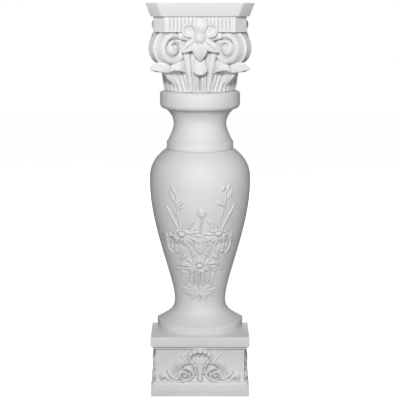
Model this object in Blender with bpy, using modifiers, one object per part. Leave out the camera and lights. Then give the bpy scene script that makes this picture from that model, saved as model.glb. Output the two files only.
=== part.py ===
"""Half-round decorative column: a square plinth, a vase-shaped shaft with a bouquet in low relief,
and a capital with leaves, corner volutes and a flower. The back is flat, for a wall.

Everything is modelled round the column's axis, which lies in the wall plane y = 0, with the front
towards -Y. One empty then moves it, so that the origin is at the middle of the underside."""

import math

import bmesh
import bpy
from mathutils import Matrix, Vector

# Half of the whole column's width, in metres, and how far the plinth and the belly stay inside it.
COLUMN_HALF_WIDTH = 0.1328
PLINTH_MARGIN = 0.0058
BELLY_MARGIN = 0.0015

# Driving sizes of the plinth.
LOWER_SLAB_HEIGHT = 0.031
DIE_HEIGHT = 0.103
UPPER_SLAB_HEIGHT = 0.0265
DIE_INSET = 0.012
FILLET_INSET = 0.0055
FILLET_HEIGHT = 0.007

# Driving sizes of the shaft: radii, heights above the plinth, and drops below the shaft's top.
SHAFT_HEIGHT = 0.6229
FOOT_RING_RADIUS = 0.1135
FOOT_RING_HEIGHT = 0.0205
FOOT_RING_ROUNDING = 0.0035
WAIST_RADIUS = 0.067
WAIST_LEVEL = 0.069
BODY_RADIUS = 0.0989
BODY_LEVEL = 0.2033
BELLY_LEVEL = 0.386
SHOULDER_RADIUS = 0.090
SHOULDER_DROP = 0.1514
BAND_RADIUS = 0.0862
BAND_HEIGHT = 0.0205
NECK_RADIUS = 0.068
NECK_DROP = 0.0839
ASTRAGAL_RADIUS = 0.1029
ASTRAGAL_DROP = 0.0464
ASTRAGAL_ROUNDING = 0.0125
ASTRAGAL_CHAMFER = 0.0095

# Driving sizes of the capital: heights above its own base.
BELL_FOOT_RADIUS = 0.087
BELL_TOP_RADIUS = 0.104
BELL_HEIGHT = 0.150
BLOCK_HEIGHT = 0.037
BLOCK_HALF_WIDTH = 0.1145
ABACUS_HEIGHT = 0.0324
ABACUS_FLARE = 0.0113
CORNER_CUT = 0.0285
SIDE_HOLLOW = 0.0065
VOLUTE_RADIUS = 0.038
VOLUTE_RIDGE = 0.008
VOLUTE_LEVEL = 0.110
VOLUTE_OFFSET = 0.0636
VOLUTE_FORWARD = 0.1035
VOLUTE_TURN = math.radians(35.0)
VOLUTE_FACETS = 18
COIL_STEPS = 15
COIL_TURNS = 1.55
LEAF_CREST = 0.080
FACE_LEAF_REACH = 0.108
FACE_LEAF_LIP = 0.047
CORNER_LEAF_REACH = 0.107
CORNER_LEAF_LIP = 0.052
CORNER_TIP_REACH = 0.022
CORNER_TIP_RISE = 0.008
FLOWER_LEVEL = 0.135
FLOWER_ROOT = 0.014
LEAF_ROOT = 0.012
PLEAT_OFFSETS = (0.048, 0.058, 0.068, 0.078)
PLEAT_WIDTH = 0.0075
PLEAT_DEPTH = 0.003
BLOOM_FORWARD = 0.107

# Fits, facets and the depth to which carving is sunk into what carries it.
GAP = 0.0003
ROOT = 0.004
HALF_TURN_FACETS = 16
WALL_CUTTER_SIZE = 0.6
WALL_ROUNDING = 0.00001

# The bouquet's own height, its foot above the plinth, and the height of its drawing below.
BOUQUET_HEIGHT = 0.320
BOUQUET_FOOT_LEVEL = 0.0785
BOUQUET_DRAWN = 320.0
WIDEST_WRAP = 0.95

# The bouquet's drawing: millimetres to the right of the axis and above its foot.
# A leaf is its root, its tip and its greatest width.
BOUQUET_LEAVES = (
    ((-59, 293), (-72, 318), 7.0),
    ((-61, 274), (-76, 301), 7.5),
    ((-60, 295), (-52, 308), 4.5),
    ((-57, 261), (-38, 277), 7.0),
    ((-52, 233), (-65, 259), 6.0),
    ((-52, 198), (-84, 257), 5.5),
    ((69, 305), (75, 320), 6.0),
    ((69, 282), (80, 303), 7.0),
    ((64, 264), (50, 274), 8.0),
    ((55, 202), (86, 260), 5.5),
    ((-42, 209), (-16, 228), 12.0),
    ((46, 212), (22, 229), 11.0),
    ((1, 142), (-11, 170), 9.0),
    ((1, 142), (14, 170), 9.0),
    ((-50, 158), (-47, 126), 10.0),
    ((52, 156), (43, 128), 10.0),
    ((-28, 160), (-17, 128), 9.0),
    ((26, 158), (19, 128), 9.0),
    ((-34, 50), (-37, 84), 11.0),
    ((-21, 48), (-22, 84), 11.0),
    ((7, 48), (6, 82), 10.0),
    ((16, 50), (23, 84), 11.0),
    ((-5, 26), (-51, 37), 17.0),
    ((-5, 26), (-22, 5), 13.0),
    ((-2, 24), (40, 33), 17.0),
    ((-2, 24), (15, 5), 13.0),
)
# A stem is the points that it passes through.
BOUQUET_STEMS = (
    ((-48, 196), (-53, 232), (-57, 262), (-61, 300)),
    ((50, 198), (49, 216), (56, 248), (64, 280), (64, 300)),
    ((2, 196), (3, 216), (5, 238)),
    ((-84, 168), (-81, 150), (-70, 136)),
    ((76, 170), (75, 150), (67, 134)),
    ((-1, 90), (-2, 50), (-4, 18)),
)
# A bud is its place and its radius.
BOUQUET_BUDS = (
    ((4.6, 246), 9.5),
    ((58, 309), 5.0),
    ((-84, 170), 6.0),
    ((75, 172), 6.0),
    ((-59, 139), 4.0),
    ((56, 140), 4.0),
    ((-57, 91), 4.0),
    ((55, 92), 4.0),
)
# A daisy is its centre and how far its petals reach right, up, left and down.
BOUQUET_DAISIES = (
    ((-47, 188), (54, 13, 27, 29)),
    ((47, 190), (22, 12, 34, 29)),
    ((-1, 102), (46, 23, 50, 22)),
)
DAISY_PETALS = 12

# The plinth's ornament: millimetres from the middle of a face, and above the plinth's underside.
# A scroll is its points, its greatest width and its height off the die. Each is mirrored.
ORNAMENT_DRAWN = 103.0
ORNAMENT_SCROLLS = (
    (((21, 96), (42, 97), (58, 89), (67, 75)), 17.0, 11.0),
    (((31, 97), (45, 110)), 10.0, 8.0),
    (((19, 66), (28, 75), (39, 77)), 11.0, 10.0),
    (((66, 78), (70, 62), (60, 46)), 11.0, 9.0),
    (((54, 42), (72, 52), (83, 67)), 12.0, 9.0),
    (((42, 38), (76, 42), (93, 55), (99, 42)), 12.0, 9.0),
)
ORNAMENT_SPIRAL_CENTRE = (40.0, 55.5)
ORNAMENT_SPIRAL_RADIUS = 14.0
ORNAMENT_SPIRAL_TURNS = 1.5
ORNAMENT_SPIRAL_WIDTH = 8.5
ORNAMENT_SPIRAL_HEIGHT = 11.0
# The shell: height, half width and stand-off, from its foot up, and its rolled lip's lobes.
SHELL_LEVELS = ((43, 14, 8), (54, 9, 10), (70, 11, 11), (88, 19, 11), (106, 26, 9), (116, 27, 8))
SHELL_RIBS = 4
SHELL_LOBES = ((0, 121, 8.0), (13, 119, 7.5), (24, 112, 7.0))
SHELL_LOBE_HEIGHT = 14.5

PLINTH_WIDTH = 2.0 * (COLUMN_HALF_WIDTH - PLINTH_MARGIN)
BELLY_RADIUS = COLUMN_HALF_WIDTH - BELLY_MARGIN
ABACUS_TOP_HALF_WIDTH = COLUMN_HALF_WIDTH
ABACUS_LOW_HALF_WIDTH = ABACUS_TOP_HALF_WIDTH - ABACUS_FLARE
SHOULDER_LEVEL = SHAFT_HEIGHT - SHOULDER_DROP
NECK_LEVEL = SHAFT_HEIGHT - NECK_DROP
ASTRAGAL_LEVEL = SHAFT_HEIGHT - ASTRAGAL_DROP
PLINTH_HEIGHT = LOWER_SLAB_HEIGHT + DIE_HEIGHT + UPPER_SLAB_HEIGHT
CAPITAL_FOOT = PLINTH_HEIGHT + SHAFT_HEIGHT
CAPITAL_HEIGHT = BELL_HEIGHT + BLOCK_HEIGHT + ABACUS_HEIGHT


def clear_scene():
    for obj in list(bpy.data.objects):
        bpy.data.objects.remove(obj, do_unlink=True)


def new_collection(name):
    collection = bpy.data.collections.new(name)
    bpy.context.scene.collection.children.link(collection)
    return collection


def primed_material(name, shade, roughness):
    """A matte, factory-primed finish."""
    material = bpy.data.materials.new(name)
    material.use_nodes = True
    shader = material.node_tree.nodes["Principled BSDF"]
    shader.inputs["Base Color"].default_value = (shade, shade, shade * 0.99, 1.0)
    shader.inputs["Roughness"].default_value = roughness
    shader.inputs["Metallic"].default_value = 0.0
    return material


def settle_on_wall(bm):
    """Puts the points that a rounding error keeps off the wall plane exactly on it."""
    for vert in bm.verts:
        if abs(vert.co.y) < WALL_ROUNDING:
            vert.co.y = 0.0


def mesh_object(name, bm, collection):
    """Closes the bmesh into a new object, with its faces pointing out."""
    settle_on_wall(bm)
    bmesh.ops.recalc_face_normals(bm, faces=bm.faces)
    mesh = bpy.data.meshes.new(name)
    bm.to_mesh(mesh)
    bm.free()
    obj = bpy.data.objects.new(name, mesh)
    collection.objects.link(obj)
    return obj


def as_helper(obj):
    obj.hide_render = True
    obj.display_type = "WIRE"
    return obj


def add_loft(bm, rings, ribbon_ends=False):
    """A closed skin over the rings. A ring of one point is a pole, and any other end is capped,
    with one face or with a ribbon of faces between its two halves."""
    made = [[bm.verts.new(point) for point in ring] for ring in rings]
    for low, high in zip(made, made[1:]):
        count = max(len(low), len(high))
        for i in range(count):
            j = (i + 1) % count
            corners = [low[i % len(low)], low[j % len(low)], high[j % len(high)], high[i % len(high)]]
            face = []
            for corner in corners:
                if corner not in face:
                    face.append(corner)
            bm.faces.new(face)
    for end in (made[0], made[-1]):
        if ribbon_ends:
            for i in range(len(end) // 2 - 1):
                bm.faces.new((end[i], end[i + 1], end[-2 - i], end[-1 - i]))
        elif len(end) > 2:
            bm.faces.new(end)


def bezier(p0, p1, p2, p3, steps):
    """Points of a cubic curve, without its first."""
    points = []
    for i in range(1, steps + 1):
        t = i / steps
        s = 1.0 - t
        points.append(
            tuple(
                s**3 * a + 3 * s * s * t * b + 3 * s * t * t * c + t**3 * d
                for a, b, c, d in zip(p0, p1, p2, p3)
            )
        )
    return points


def swept(low, high, low_lean, high_lean, low_reach, high_reach, steps):
    """A turned outline between two (radius, height) points. A lean is the change of radius for
    each unit of height at that end, and a reach is that end's handle as a share of the height."""
    rise = high[1] - low[1]
    first = (low[0] + low_lean * low_reach * rise, low[1] + low_reach * rise)
    second = (high[0] - high_lean * high_reach * rise, high[1] - high_reach * rise)
    return bezier(low, first, second, high, steps)


def shaft_profile():
    """The shaft's outline, from the foot up, as (radius, height above the plinth)."""
    rim = FOOT_RING_ROUNDING
    points = [(FOOT_RING_RADIUS, GAP), (FOOT_RING_RADIUS, FOOT_RING_HEIGHT - rim)]
    points.append((FOOT_RING_RADIUS - 0.3 * rim, FOOT_RING_HEIGHT - 0.3 * rim))
    flare_start = (FOOT_RING_RADIUS - rim, FOOT_RING_HEIGHT)
    points.append(flare_start)
    waist = (WAIST_RADIUS, WAIST_LEVEL)
    body = (BODY_RADIUS, BODY_LEVEL)
    belly = (BELLY_RADIUS, BELLY_LEVEL)
    shoulder = (SHOULDER_RADIUS, SHOULDER_LEVEL)
    points += swept(flare_start, waist, -2.0, 0.0, 0.39, 0.45, 5)
    points += swept(waist, body, 0.0, 0.278, 0.22, 0.335, 4)
    points += swept(body, belly, 0.278, 0.0, 0.33, 0.33, 4)
    points += swept(belly, shoulder, 0.0, -1.2, 0.51, 0.257, 5)
    band_top = SHOULDER_LEVEL + BAND_HEIGHT
    points.append((BAND_RADIUS, SHOULDER_LEVEL + 0.0015))
    points.append((BAND_RADIUS, band_top))
    neck_start = (BAND_RADIUS - 0.003, band_top + 0.002)
    points.append(neck_start)
    neck = (NECK_RADIUS, NECK_LEVEL)
    astragal_foot = (ASTRAGAL_RADIUS - ASTRAGAL_ROUNDING, ASTRAGAL_LEVEL)
    points += swept(neck_start, neck, -0.47, 0.0, 0.386, 0.35, 4)
    points += swept(neck, astragal_foot, 0.0, 2.0, 0.425, 0.12, 4)
    rounding_top = ASTRAGAL_LEVEL + ASTRAGAL_ROUNDING
    for degrees in (30, 60, 90):
        turn = math.radians(degrees)
        points.append(
            (
                astragal_foot[0] + ASTRAGAL_ROUNDING * math.sin(turn),
                rounding_top - ASTRAGAL_ROUNDING * math.cos(turn),
            )
        )
    chamfer = ASTRAGAL_CHAMFER
    points.append((ASTRAGAL_RADIUS, SHAFT_HEIGHT - 0.9 * chamfer))
    points.append((ASTRAGAL_RADIUS - 0.25 * chamfer, SHAFT_HEIGHT - 0.45 * chamfer))
    points.append((ASTRAGAL_RADIUS - chamfer, SHAFT_HEIGHT - GAP))
    return points


def level_radius(profile, level):
    """The outline's radius at a height."""
    for low, high in zip(profile, profile[1:]):
        if low[1] <= level <= high[1] and high[1] > low[1]:
            share = (level - low[1]) / (high[1] - low[1])
            return low[0] + share * (high[0] - low[0])
    return profile[-1][0]


def turned(name, profile, foot, half, collection):
    """Turns a (radius, height) outline round the axis: all the way, or half way through the front,
    with the flat back closed."""
    top_down = list(reversed(profile))
    path = [(0.0, top_down[0][1])] + top_down + [(0.0, top_down[-1][1])]
    bm = bmesh.new()
    verts = [bm.verts.new((radius, 0.0, foot + level)) for radius, level in path]
    for upper, lower in zip(verts, verts[1:]):
        bm.edges.new((upper, lower))
    mesh = bpy.data.meshes.new(name)
    bm.to_mesh(mesh)
    bm.free()
    obj = bpy.data.objects.new(name, mesh)
    collection.objects.link(obj)
    screw = obj.modifiers.new("turn", "SCREW")
    screw.angle = math.pi if half else math.tau
    screw.steps = HALF_TURN_FACETS if half else 2 * HALF_TURN_FACETS
    screw.render_steps = screw.steps
    screw.use_merge_vertices = True
    screw.merge_threshold = 0.0001
    graph = bpy.context.evaluated_depsgraph_get()
    skin = bpy.data.meshes.new_from_object(obj.evaluated_get(graph))
    obj.modifiers.clear()
    obj.data = skin
    bm = bmesh.new()
    bm.from_mesh(skin)
    bmesh.ops.remove_doubles(bm, verts=bm.verts, dist=0.00005)
    bmesh.ops.transform(bm, matrix=Matrix.Rotation(math.pi, 4, "Z"), verts=bm.verts)
    settle_on_wall(bm)
    open_edges = [edge for edge in bm.edges if edge.is_boundary]
    if open_edges:
        bmesh.ops.holes_fill(bm, edges=open_edges, sides=0)
    bmesh.ops.recalc_face_normals(bm, faces=bm.faces)
    bm.to_mesh(skin)
    bm.free()
    return obj


def smooth_path(points, steps):
    """A curve through the points, with this many steps between two of them."""
    if len(points) == 2:
        steps = max(steps, 3)
    ends = [points[0]] + list(points) + [points[-1]]
    path = [Vector(points[0])]
    for before, start, end, after in zip(ends, ends[1:], ends[2:], ends[3:]):
        first = Vector(start) + (Vector(end) - Vector(before)) / 6.0
        second = Vector(end) - (Vector(after) - Vector(start)) / 6.0
        path += [Vector(p) for p in bezier(start, first, second, end, steps)]
    return path


def add_ridge(bm, place, path, widths, height, section, root=ROOT):
    """A ridge along a path on a surface, sunk into it by its root. The section's points are shares
    of the half width and of the height, and place() puts a point of the surface in space."""
    rings = []
    for i, point in enumerate(path):
        along = (path[min(i + 1, len(path) - 1)] - path[max(i - 1, 0)]).normalized()
        across = Vector((along.y, -along.x))
        half = 0.5 * widths[i]
        lift = height * min(1.0, 0.35 + 0.65 * widths[i] / max(widths))
        ring = []
        for side, rise in section:
            spot = point + across * (side * half)
            depth = rise * lift if rise > 0.0 else -root
            ring.append(place(spot.x, spot.y, depth))
        rings.append(ring)
    add_loft(bm, rings)


STEM_SECTION = ((-1.0, 0.0), (-0.45, 0.9), (0.45, 0.9), (1.0, 0.0))
LEAF_SECTION = ((-1.0, 0.0), (-0.55, 1.0), (0.0, 0.55), (0.55, 1.0), (1.0, 0.0))
SCROLL_SECTION = ((-1.0, 0.0), (-0.75, 0.75), (0.0, 1.0), (0.75, 0.75), (1.0, 0.0))


def add_leaf(bm, place, root, tip, width, height, unit):
    """A leaf with a sunk midrib, widest near its middle."""
    shares = (0.0, 0.45, 1.0)
    wide = (0.4, 1.0, 0.12)
    start = Vector(root) * unit
    end = Vector(tip) * unit
    path = [start.lerp(end, share) for share in shares]
    add_ridge(bm, place, path, [width * unit * w for w in wide], height, LEAF_SECTION)


def add_stem(bm, place, points, width, height, unit, section=STEM_SECTION, steps=2):
    path = [point * unit for point in smooth_path(points, steps)]
    last = len(path) - 1
    widths = [width * unit * (1.0 - 0.45 * i / last) for i in range(last + 1)]
    add_ridge(bm, place, path, widths, height, section)


def add_bud(bm, place, centre, radius, height, unit):
    """A round knob, as rings about its own middle."""
    facets = 6
    rings = [[place(centre[0] * unit, centre[1] * unit, height)]]
    for share, rise in ((0.7, 0.75), (1.0, -ROOT)):
        ring = []
        for i in range(facets):
            turn = math.tau * i / facets
            x = (centre[0] + radius * share * math.cos(turn)) * unit
            z = (centre[1] + radius * share * math.sin(turn)) * unit
            ring.append(place(x, z, rise * height if rise > 0.0 else rise))
        rings.append(ring)
    add_loft(bm, rings)


def petal_reach(reaches, turn):
    """How far a daisy's petals reach in this direction: right, up, left and down, blended."""
    right, up, left, down = reaches
    sideways = right if math.cos(turn) > 0.0 else left
    upright = up if math.sin(turn) > 0.0 else down
    return 1.0 / math.hypot(math.cos(turn) / sideways, math.sin(turn) / upright)


def add_daisy(bm, place, centre, reaches, height, unit):
    """A daisy seen at a slant: a domed eye, and petals with sunk lines between them."""
    count = 2 * DAISY_PETALS
    eye = 0.30 * min(max(reaches[1], reaches[3]), 30.0)
    steps = (
        (0.0, 1.0, 1.25, 1.25),
        (0.0, 1.0, 1.0, 1.0),
        (0.5, 0.0, 1.0, 0.45),
        (1.0, 0.0, 0.35, 0.0),
        (1.0, 0.0, -1.0, -1.0),
    )
    rings = [[place(centre[0] * unit, centre[1] * unit, 1.35 * height)]]
    for reach_share, eye_share, crest, valley in steps[1:]:
        ring = []
        for i in range(count):
            turn = math.tau * i / count
            on_petal = i % 2 == 0
            reach = petal_reach(reaches, turn)
            shorter = 1.0 if on_petal or reach_share < 1.0 else 0.78
            out = max(eye * eye_share, reach * reach_share * shorter)
            if eye_share == 0.0:
                out = max(out, 1.15 * eye)
            rise = crest if on_petal else valley
            x = (centre[0] + out * math.cos(turn)) * unit
            z = (centre[1] + out * math.sin(turn)) * unit
            ring.append(place(x, z, rise * height if rise > 0.0 else min(rise, 0.0) * ROOT))
        rings.append(ring)
    add_loft(bm, rings)


def bouquet(profile, collection):
    """All of the flowers on the shaft, wrapped on to its body."""
    unit = BOUQUET_HEIGHT / BOUQUET_DRAWN

    def on_vase(x, z, out):
        level = BOUQUET_FOOT_LEVEL + z
        radius = level_radius(profile, level)
        step = 0.004
        lean = (level_radius(profile, level + step) - level_radius(profile, level - step)) / (2 * step)
        share = max(-WIDEST_WRAP, min(WIDEST_WRAP, x / radius))
        deep = math.sqrt(1.0 - share * share)
        away = Vector((share, -deep, -lean)).normalized()
        return Vector((radius * share, -radius * deep, PLINTH_HEIGHT + level)) + away * out

    bm = bmesh.new()
    for root, tip, width in BOUQUET_LEAVES:
        add_leaf(bm, on_vase, root, tip, width, 0.0035, unit)
    for points in BOUQUET_STEMS:
        add_stem(bm, on_vase, points, 3.6, 0.003, unit)
    for centre, radius in BOUQUET_BUDS:
        add_bud(bm, on_vase, centre, radius, 0.0045, unit)
    for centre, reaches in BOUQUET_DAISIES:
        add_daisy(bm, on_vase, centre, reaches, 0.0055, unit)
    return as_helper(mesh_object("bouquet", bm, collection))


def make_shaft(parts, helpers, material):
    profile = shaft_profile()
    shaft = turned("shaft", profile, PLINTH_HEIGHT, True, parts)
    shaft.data.materials.append(material)
    join(shaft, bouquet(profile, helpers))
    shade_round(shaft)
    return shaft


def join(obj, other):
    """A live union. The other mesh may hold shapes that overlap each other."""
    union = obj.modifiers.new("union with " + other.name, "BOOLEAN")
    union.operation = "UNION"
    union.solver = "EXACT"
    union.use_self = True
    union.object = other


def cut(obj, cutter):
    difference = obj.modifiers.new("cut by " + cutter.name, "BOOLEAN")
    difference.operation = "DIFFERENCE"
    difference.solver = "EXACT"
    difference.object = cutter


def shade_round(obj):
    obj.data.shade_smooth()
    obj.data.set_sharp_from_angle(angle=math.radians(40.0))


def add_stack(bm, outline, levels):
    """A block whose outline is the same at each (height, half width), one ring for each."""
    add_loft(bm, [[Vector((x, y, z)) for x, y in outline(half)] for z, half in levels])


def half_square(half):
    return ((-half, 0.0), (-half, -half), (half, -half), (half, 0.0))


def on_face(turn, forward, foot):
    """Puts (x, z, out) on a flat upright face: turn 0 is the front, and a quarter turn a side."""
    turned = Matrix.Rotation(turn, 3, "Z")

    def place(x, z, out):
        return turned @ Vector((x, -forward - out, foot + z))

    return place


def mirrored(place, side):
    """The same placing, with its sideways direction turned over for the left side."""
    return lambda x, z, out: place(side * x, z, out)


def add_ornament(bm, place, unit):
    """The shell between its two scrolls."""
    for side in (-1.0, 1.0):
        put = mirrored(place, side)
        for points, width, height in ORNAMENT_SCROLLS:
            add_stem(bm, put, points, width, height * unit, unit, SCROLL_SECTION)
        path = []
        widths = []
        for i in range(COIL_STEPS + 1):
            share = i / COIL_STEPS
            turn = math.radians(160.0) + math.tau * ORNAMENT_SPIRAL_TURNS * share
            radius = ORNAMENT_SPIRAL_RADIUS * (1.0 - 0.80 * share)
            x = ORNAMENT_SPIRAL_CENTRE[0] + radius * math.cos(turn)
            z = ORNAMENT_SPIRAL_CENTRE[1] + radius * math.sin(turn)
            path.append(Vector((x, z)) * unit)
            widths.append(ORNAMENT_SPIRAL_WIDTH * (1.0 - 0.3 * share) * unit)
        add_ridge(bm, put, path, widths, ORNAMENT_SPIRAL_HEIGHT * unit, SCROLL_SECTION)
    rings = []
    for z, half, out in SHELL_LEVELS:
        count = 2 * SHELL_RIBS
        ring = [place(-half * unit, z * unit, -ROOT)]
        for i in range(count + 1):
            share = i / count * 2.0 - 1.0
            swell = math.sqrt(1.0 - 0.75 * share * share)
            rib = 0.0 if i % 2 else -0.18
            ring.append(place(half * share * unit, z * unit, out * (swell + rib) * unit))
        ring.append(place(half * unit, z * unit, -ROOT))
        rings.append(ring)
    add_loft(bm, rings)
    for x, z, radius in SHELL_LOBES:
        for side in (-1.0, 1.0) if x else (1.0,):
            add_bud(bm, mirrored(place, side), (x, z), radius, SHELL_LOBE_HEIGHT * unit, unit)


def make_plinth(parts, helpers, material):
    half = 0.5 * PLINTH_WIDTH
    die = half - DIE_INSET
    fillet = half - FILLET_INSET
    die_top = LOWER_SLAB_HEIGHT + DIE_HEIGHT
    levels = (
        (0.0, half),
        (LOWER_SLAB_HEIGHT, half),
        (LOWER_SLAB_HEIGHT, fillet),
        (LOWER_SLAB_HEIGHT + FILLET_HEIGHT, fillet),
        (LOWER_SLAB_HEIGHT + FILLET_HEIGHT, die),
        (die_top - FILLET_HEIGHT, die),
        (die_top - FILLET_HEIGHT, fillet),
        (die_top, fillet),
        (die_top, half),
        (PLINTH_HEIGHT, half),
    )
    bm = bmesh.new()
    add_stack(bm, half_square, levels)
    plinth = mesh_object("plinth", bm, parts)
    plinth.data.materials.append(material)
    unit = DIE_HEIGHT / ORNAMENT_DRAWN
    bm = bmesh.new()
    for turn in (0.0, 0.5 * math.pi, -0.5 * math.pi):
        add_ornament(bm, on_face(turn, die, 0.0), unit)
    join(plinth, as_helper(mesh_object("plinth_ornament", bm, helpers)))
    cut(plinth, wall_cutter("plinth_wall", helpers))
    return plinth


def wall_cutter(name, collection):
    """Everything behind the wall plane."""
    bm = bmesh.new()
    size = WALL_CUTTER_SIZE
    middle = 0.5 * (CAPITAL_FOOT + CAPITAL_HEIGHT)
    stretch = Matrix.Diagonal((size, size, 4.0 * size, 1.0))
    place = Matrix.Translation((0.0, 0.5 * size, middle))
    bmesh.ops.create_cube(bm, size=1.0, matrix=place @ stretch)
    return as_helper(mesh_object(name, bm, collection))


def cut_cornered(half):
    """A square plan with hollow sides and corners cut off at 45 degrees."""
    steps = 6
    cut_to = half - CORNER_CUT
    side = []
    for i in range(steps + 1):
        along = -1.0 + 2.0 * i / steps
        side.append(Vector((cut_to * along, -half + SIDE_HOLLOW * (1.0 - along * along))))
    plan = []
    for quarter in range(4):
        turned = Matrix.Rotation(0.5 * math.pi * quarter, 2)
        plan += [turned @ point for point in side]
    return plan


def volute_faces(side):
    """The two spiral faces at a corner, mirror images in its diagonal: each one's middle, its
    direction towards the corner, and the way it faces."""
    cosine = math.cos(VOLUTE_TURN)
    sine = math.sin(VOLUTE_TURN)
    front = (
        Vector((side * VOLUTE_OFFSET, -VOLUTE_FORWARD)),
        Vector((side * cosine, -sine)),
        Vector((-side * sine, -cosine)),
    )
    flank = (
        Vector((side * VOLUTE_FORWARD, -VOLUTE_OFFSET)),
        Vector((side * sine, -cosine)),
        Vector((side * cosine, sine)),
    )
    return front, flank


def add_volute(bm, side):
    """A thick scroll at a corner, with a ridge along its rim and a coil on each face."""
    level = CAPITAL_FOOT + VOLUTE_LEVEL
    front, flank = volute_faces(side)
    middle = (0.5 * (front[0] + flank[0]), (front[1] + flank[1]).normalized())
    rings = []
    for centre, across, radius in (
        (front[0], front[1], VOLUTE_RADIUS),
        (middle[0], middle[1], VOLUTE_RADIUS + VOLUTE_RIDGE),
        (flank[0], flank[1], VOLUTE_RADIUS),
    ):
        ring = []
        for i in range(VOLUTE_FACETS):
            turn = math.tau * i / VOLUTE_FACETS
            spot = centre + across * (radius * math.cos(turn))
            ring.append(Vector((spot.x, spot.y, level + VOLUTE_RADIUS * math.sin(turn))))
        rings.append(ring)
    add_loft(bm, rings)
    for centre, across, outward in (front, flank):
        add_coil(bm, centre, across, outward, level)


def add_coil(bm, middle, across, outward, level):
    """The raised coil on a volute's face, from under the block, round and in to its eye."""

    def place(x, z, out):
        spot = middle + across * x + outward * out
        return Vector((spot.x, spot.y, level + z))

    path = []
    widths = []
    for i in range(COIL_STEPS + 1):
        share = i / COIL_STEPS
        turn = math.radians(70.0) + math.tau * COIL_TURNS * share
        radius = VOLUTE_RADIUS * (0.80 - 0.64 * share)
        path.append(Vector((-radius * math.cos(turn), radius * math.sin(turn))))
        widths.append(VOLUTE_RADIUS * (0.40 - 0.10 * share))
    add_ridge(bm, place, path, widths, 0.006, STEM_SECTION)


def add_petal(bm, place, angle, start, length, width, height, tip):
    """A petal with a hollow along its middle. Its tip is a share of its width: small is pointed."""
    along = Vector((math.cos(angle), math.sin(angle)))
    shares = (0.0, 0.35, 0.8, 1.0)
    wide = (0.45, 0.95, 0.7 + 0.5 * tip, tip)
    path = [along * (start + length * share) for share in shares]
    widths = [width * w for w in wide]
    add_ridge(bm, place, path, widths, height, LEAF_SECTION, FLOWER_ROOT)


# The flower's petals: direction in degrees, then start, length, width and height in metres, and
# the tip's share of the width.
PETALS = (
    (90.0, 0.012, 0.038, 0.036, 0.012, 0.6),
    (38.0, 0.012, 0.036, 0.034, 0.012, 0.6),
    (142.0, 0.012, 0.036, 0.034, 0.012, 0.6),
    (-37.0, 0.010, 0.044, 0.024, 0.010, 0.15),
    (-143.0, 0.010, 0.044, 0.024, 0.010, 0.15),
    (-90.0, 0.010, 0.046, 0.034, 0.012, 0.15),
)


def add_flower(bm, turn):
    """The six-petalled flower in the middle of a side."""
    place = on_face(turn, BLOOM_FORWARD, CAPITAL_FOOT + FLOWER_LEVEL)
    for degrees, start, length, width, height, tip in PETALS:
        add_petal(bm, place, math.radians(degrees), start, length, width, height, tip)
    rings = [[place(0.0, 0.0, 0.016)]]
    facets = 8
    for share, out in ((0.7, 0.013), (1.0, 0.006), (1.0, -0.010)):
        rings.append(
            [
                place(
                    0.013 * share * math.cos(math.tau * i / facets),
                    0.013 * share * math.sin(math.tau * i / facets),
                    out,
                )
                for i in range(facets)
            ]
        )
    add_loft(bm, rings)


def add_bell_leaf(bm, middle, spreads, columns, reach_at, lip_at, rib):
    """An acanthus leaf, as a skin over upright sections side by side. Each section climbs the bell,
    leans out under the lip, turns over it and runs back into the bell at the crest. The spreads
    are half angles at the foot, half way up and at the lip, in degrees."""
    foot, waist, lip = spreads
    rings = []
    for i in range(columns + 1):
        across = -1.0 + 2.0 * i / columns
        groove = rib if i % 2 else 0.0
        reach = reach_at(across)
        low = lip_at(across)
        lean = reach - BELL_FOOT_RADIUS
        section = (
            (BELL_FOOT_RADIUS + 0.004 - groove, 0.001, foot),
            (BELL_FOOT_RADIUS + 0.005 - groove, 0.018, 0.5 * (foot + waist)),
            (BELL_FOOT_RADIUS + 0.003 + 0.25 * lean - groove, 0.033, waist),
            (BELL_FOOT_RADIUS + 0.55 * lean - groove, low - 0.006, 0.4 * waist + 0.6 * lip),
            (reach - 0.003, low, lip),
            (reach, low + 0.005, lip),
            (BELL_FOOT_RADIUS + 0.72 * lean, 0.5 * (low + LEAF_CREST) + 0.008, lip),
            (BELL_FOOT_RADIUS + 0.45 * lean, LEAF_CREST, 0.9 * lip),
        )
        outer = []
        inner = []
        for radius, level, spread in section:
            turn = math.radians(middle + across * spread)
            away = Vector((math.sin(turn), -math.cos(turn), 0.0))
            base = Vector((0.0, 0.0, CAPITAL_FOOT + level))
            outer.append(base + away * radius)
            inner.append(base + away * (BELL_FOOT_RADIUS - LEAF_ROOT))
        rings.append(outer + inner[::-1])
    add_loft(bm, rings, ribbon_ends=True)


def add_face_leaf(bm, middle):
    """The leaf in the middle of a side, whose tongue hangs lowest at its tip."""

    def lip_at(across):
        return FACE_LEAF_LIP + 0.008 * across * across

    def reach_at(across):
        return FACE_LEAF_REACH - 0.006 * across * across

    add_bell_leaf(bm, middle, (12.0, 17.0, 10.5), 6, reach_at, lip_at, 0.003)


def add_corner_leaf(bm, side):
    """The leaf under a volute: a lobe along each side of the capital, and a point at the corner."""
    spread = 26.0

    def reach_at(across):
        off_corner = abs(across) * spread
        point = max(0.0, 1.0 - off_corner / 9.0)
        return CORNER_LEAF_REACH / math.cos(math.radians(45.0 - off_corner)) + CORNER_TIP_REACH * point

    def lip_at(across):
        point = max(0.0, 1.0 - abs(across) * spread / 9.0)
        return CORNER_LEAF_LIP + CORNER_TIP_RISE * point

    add_bell_leaf(bm, 45.0 * side, (26.0, 26.0, spread), 12, reach_at, lip_at, 0.003)


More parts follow.
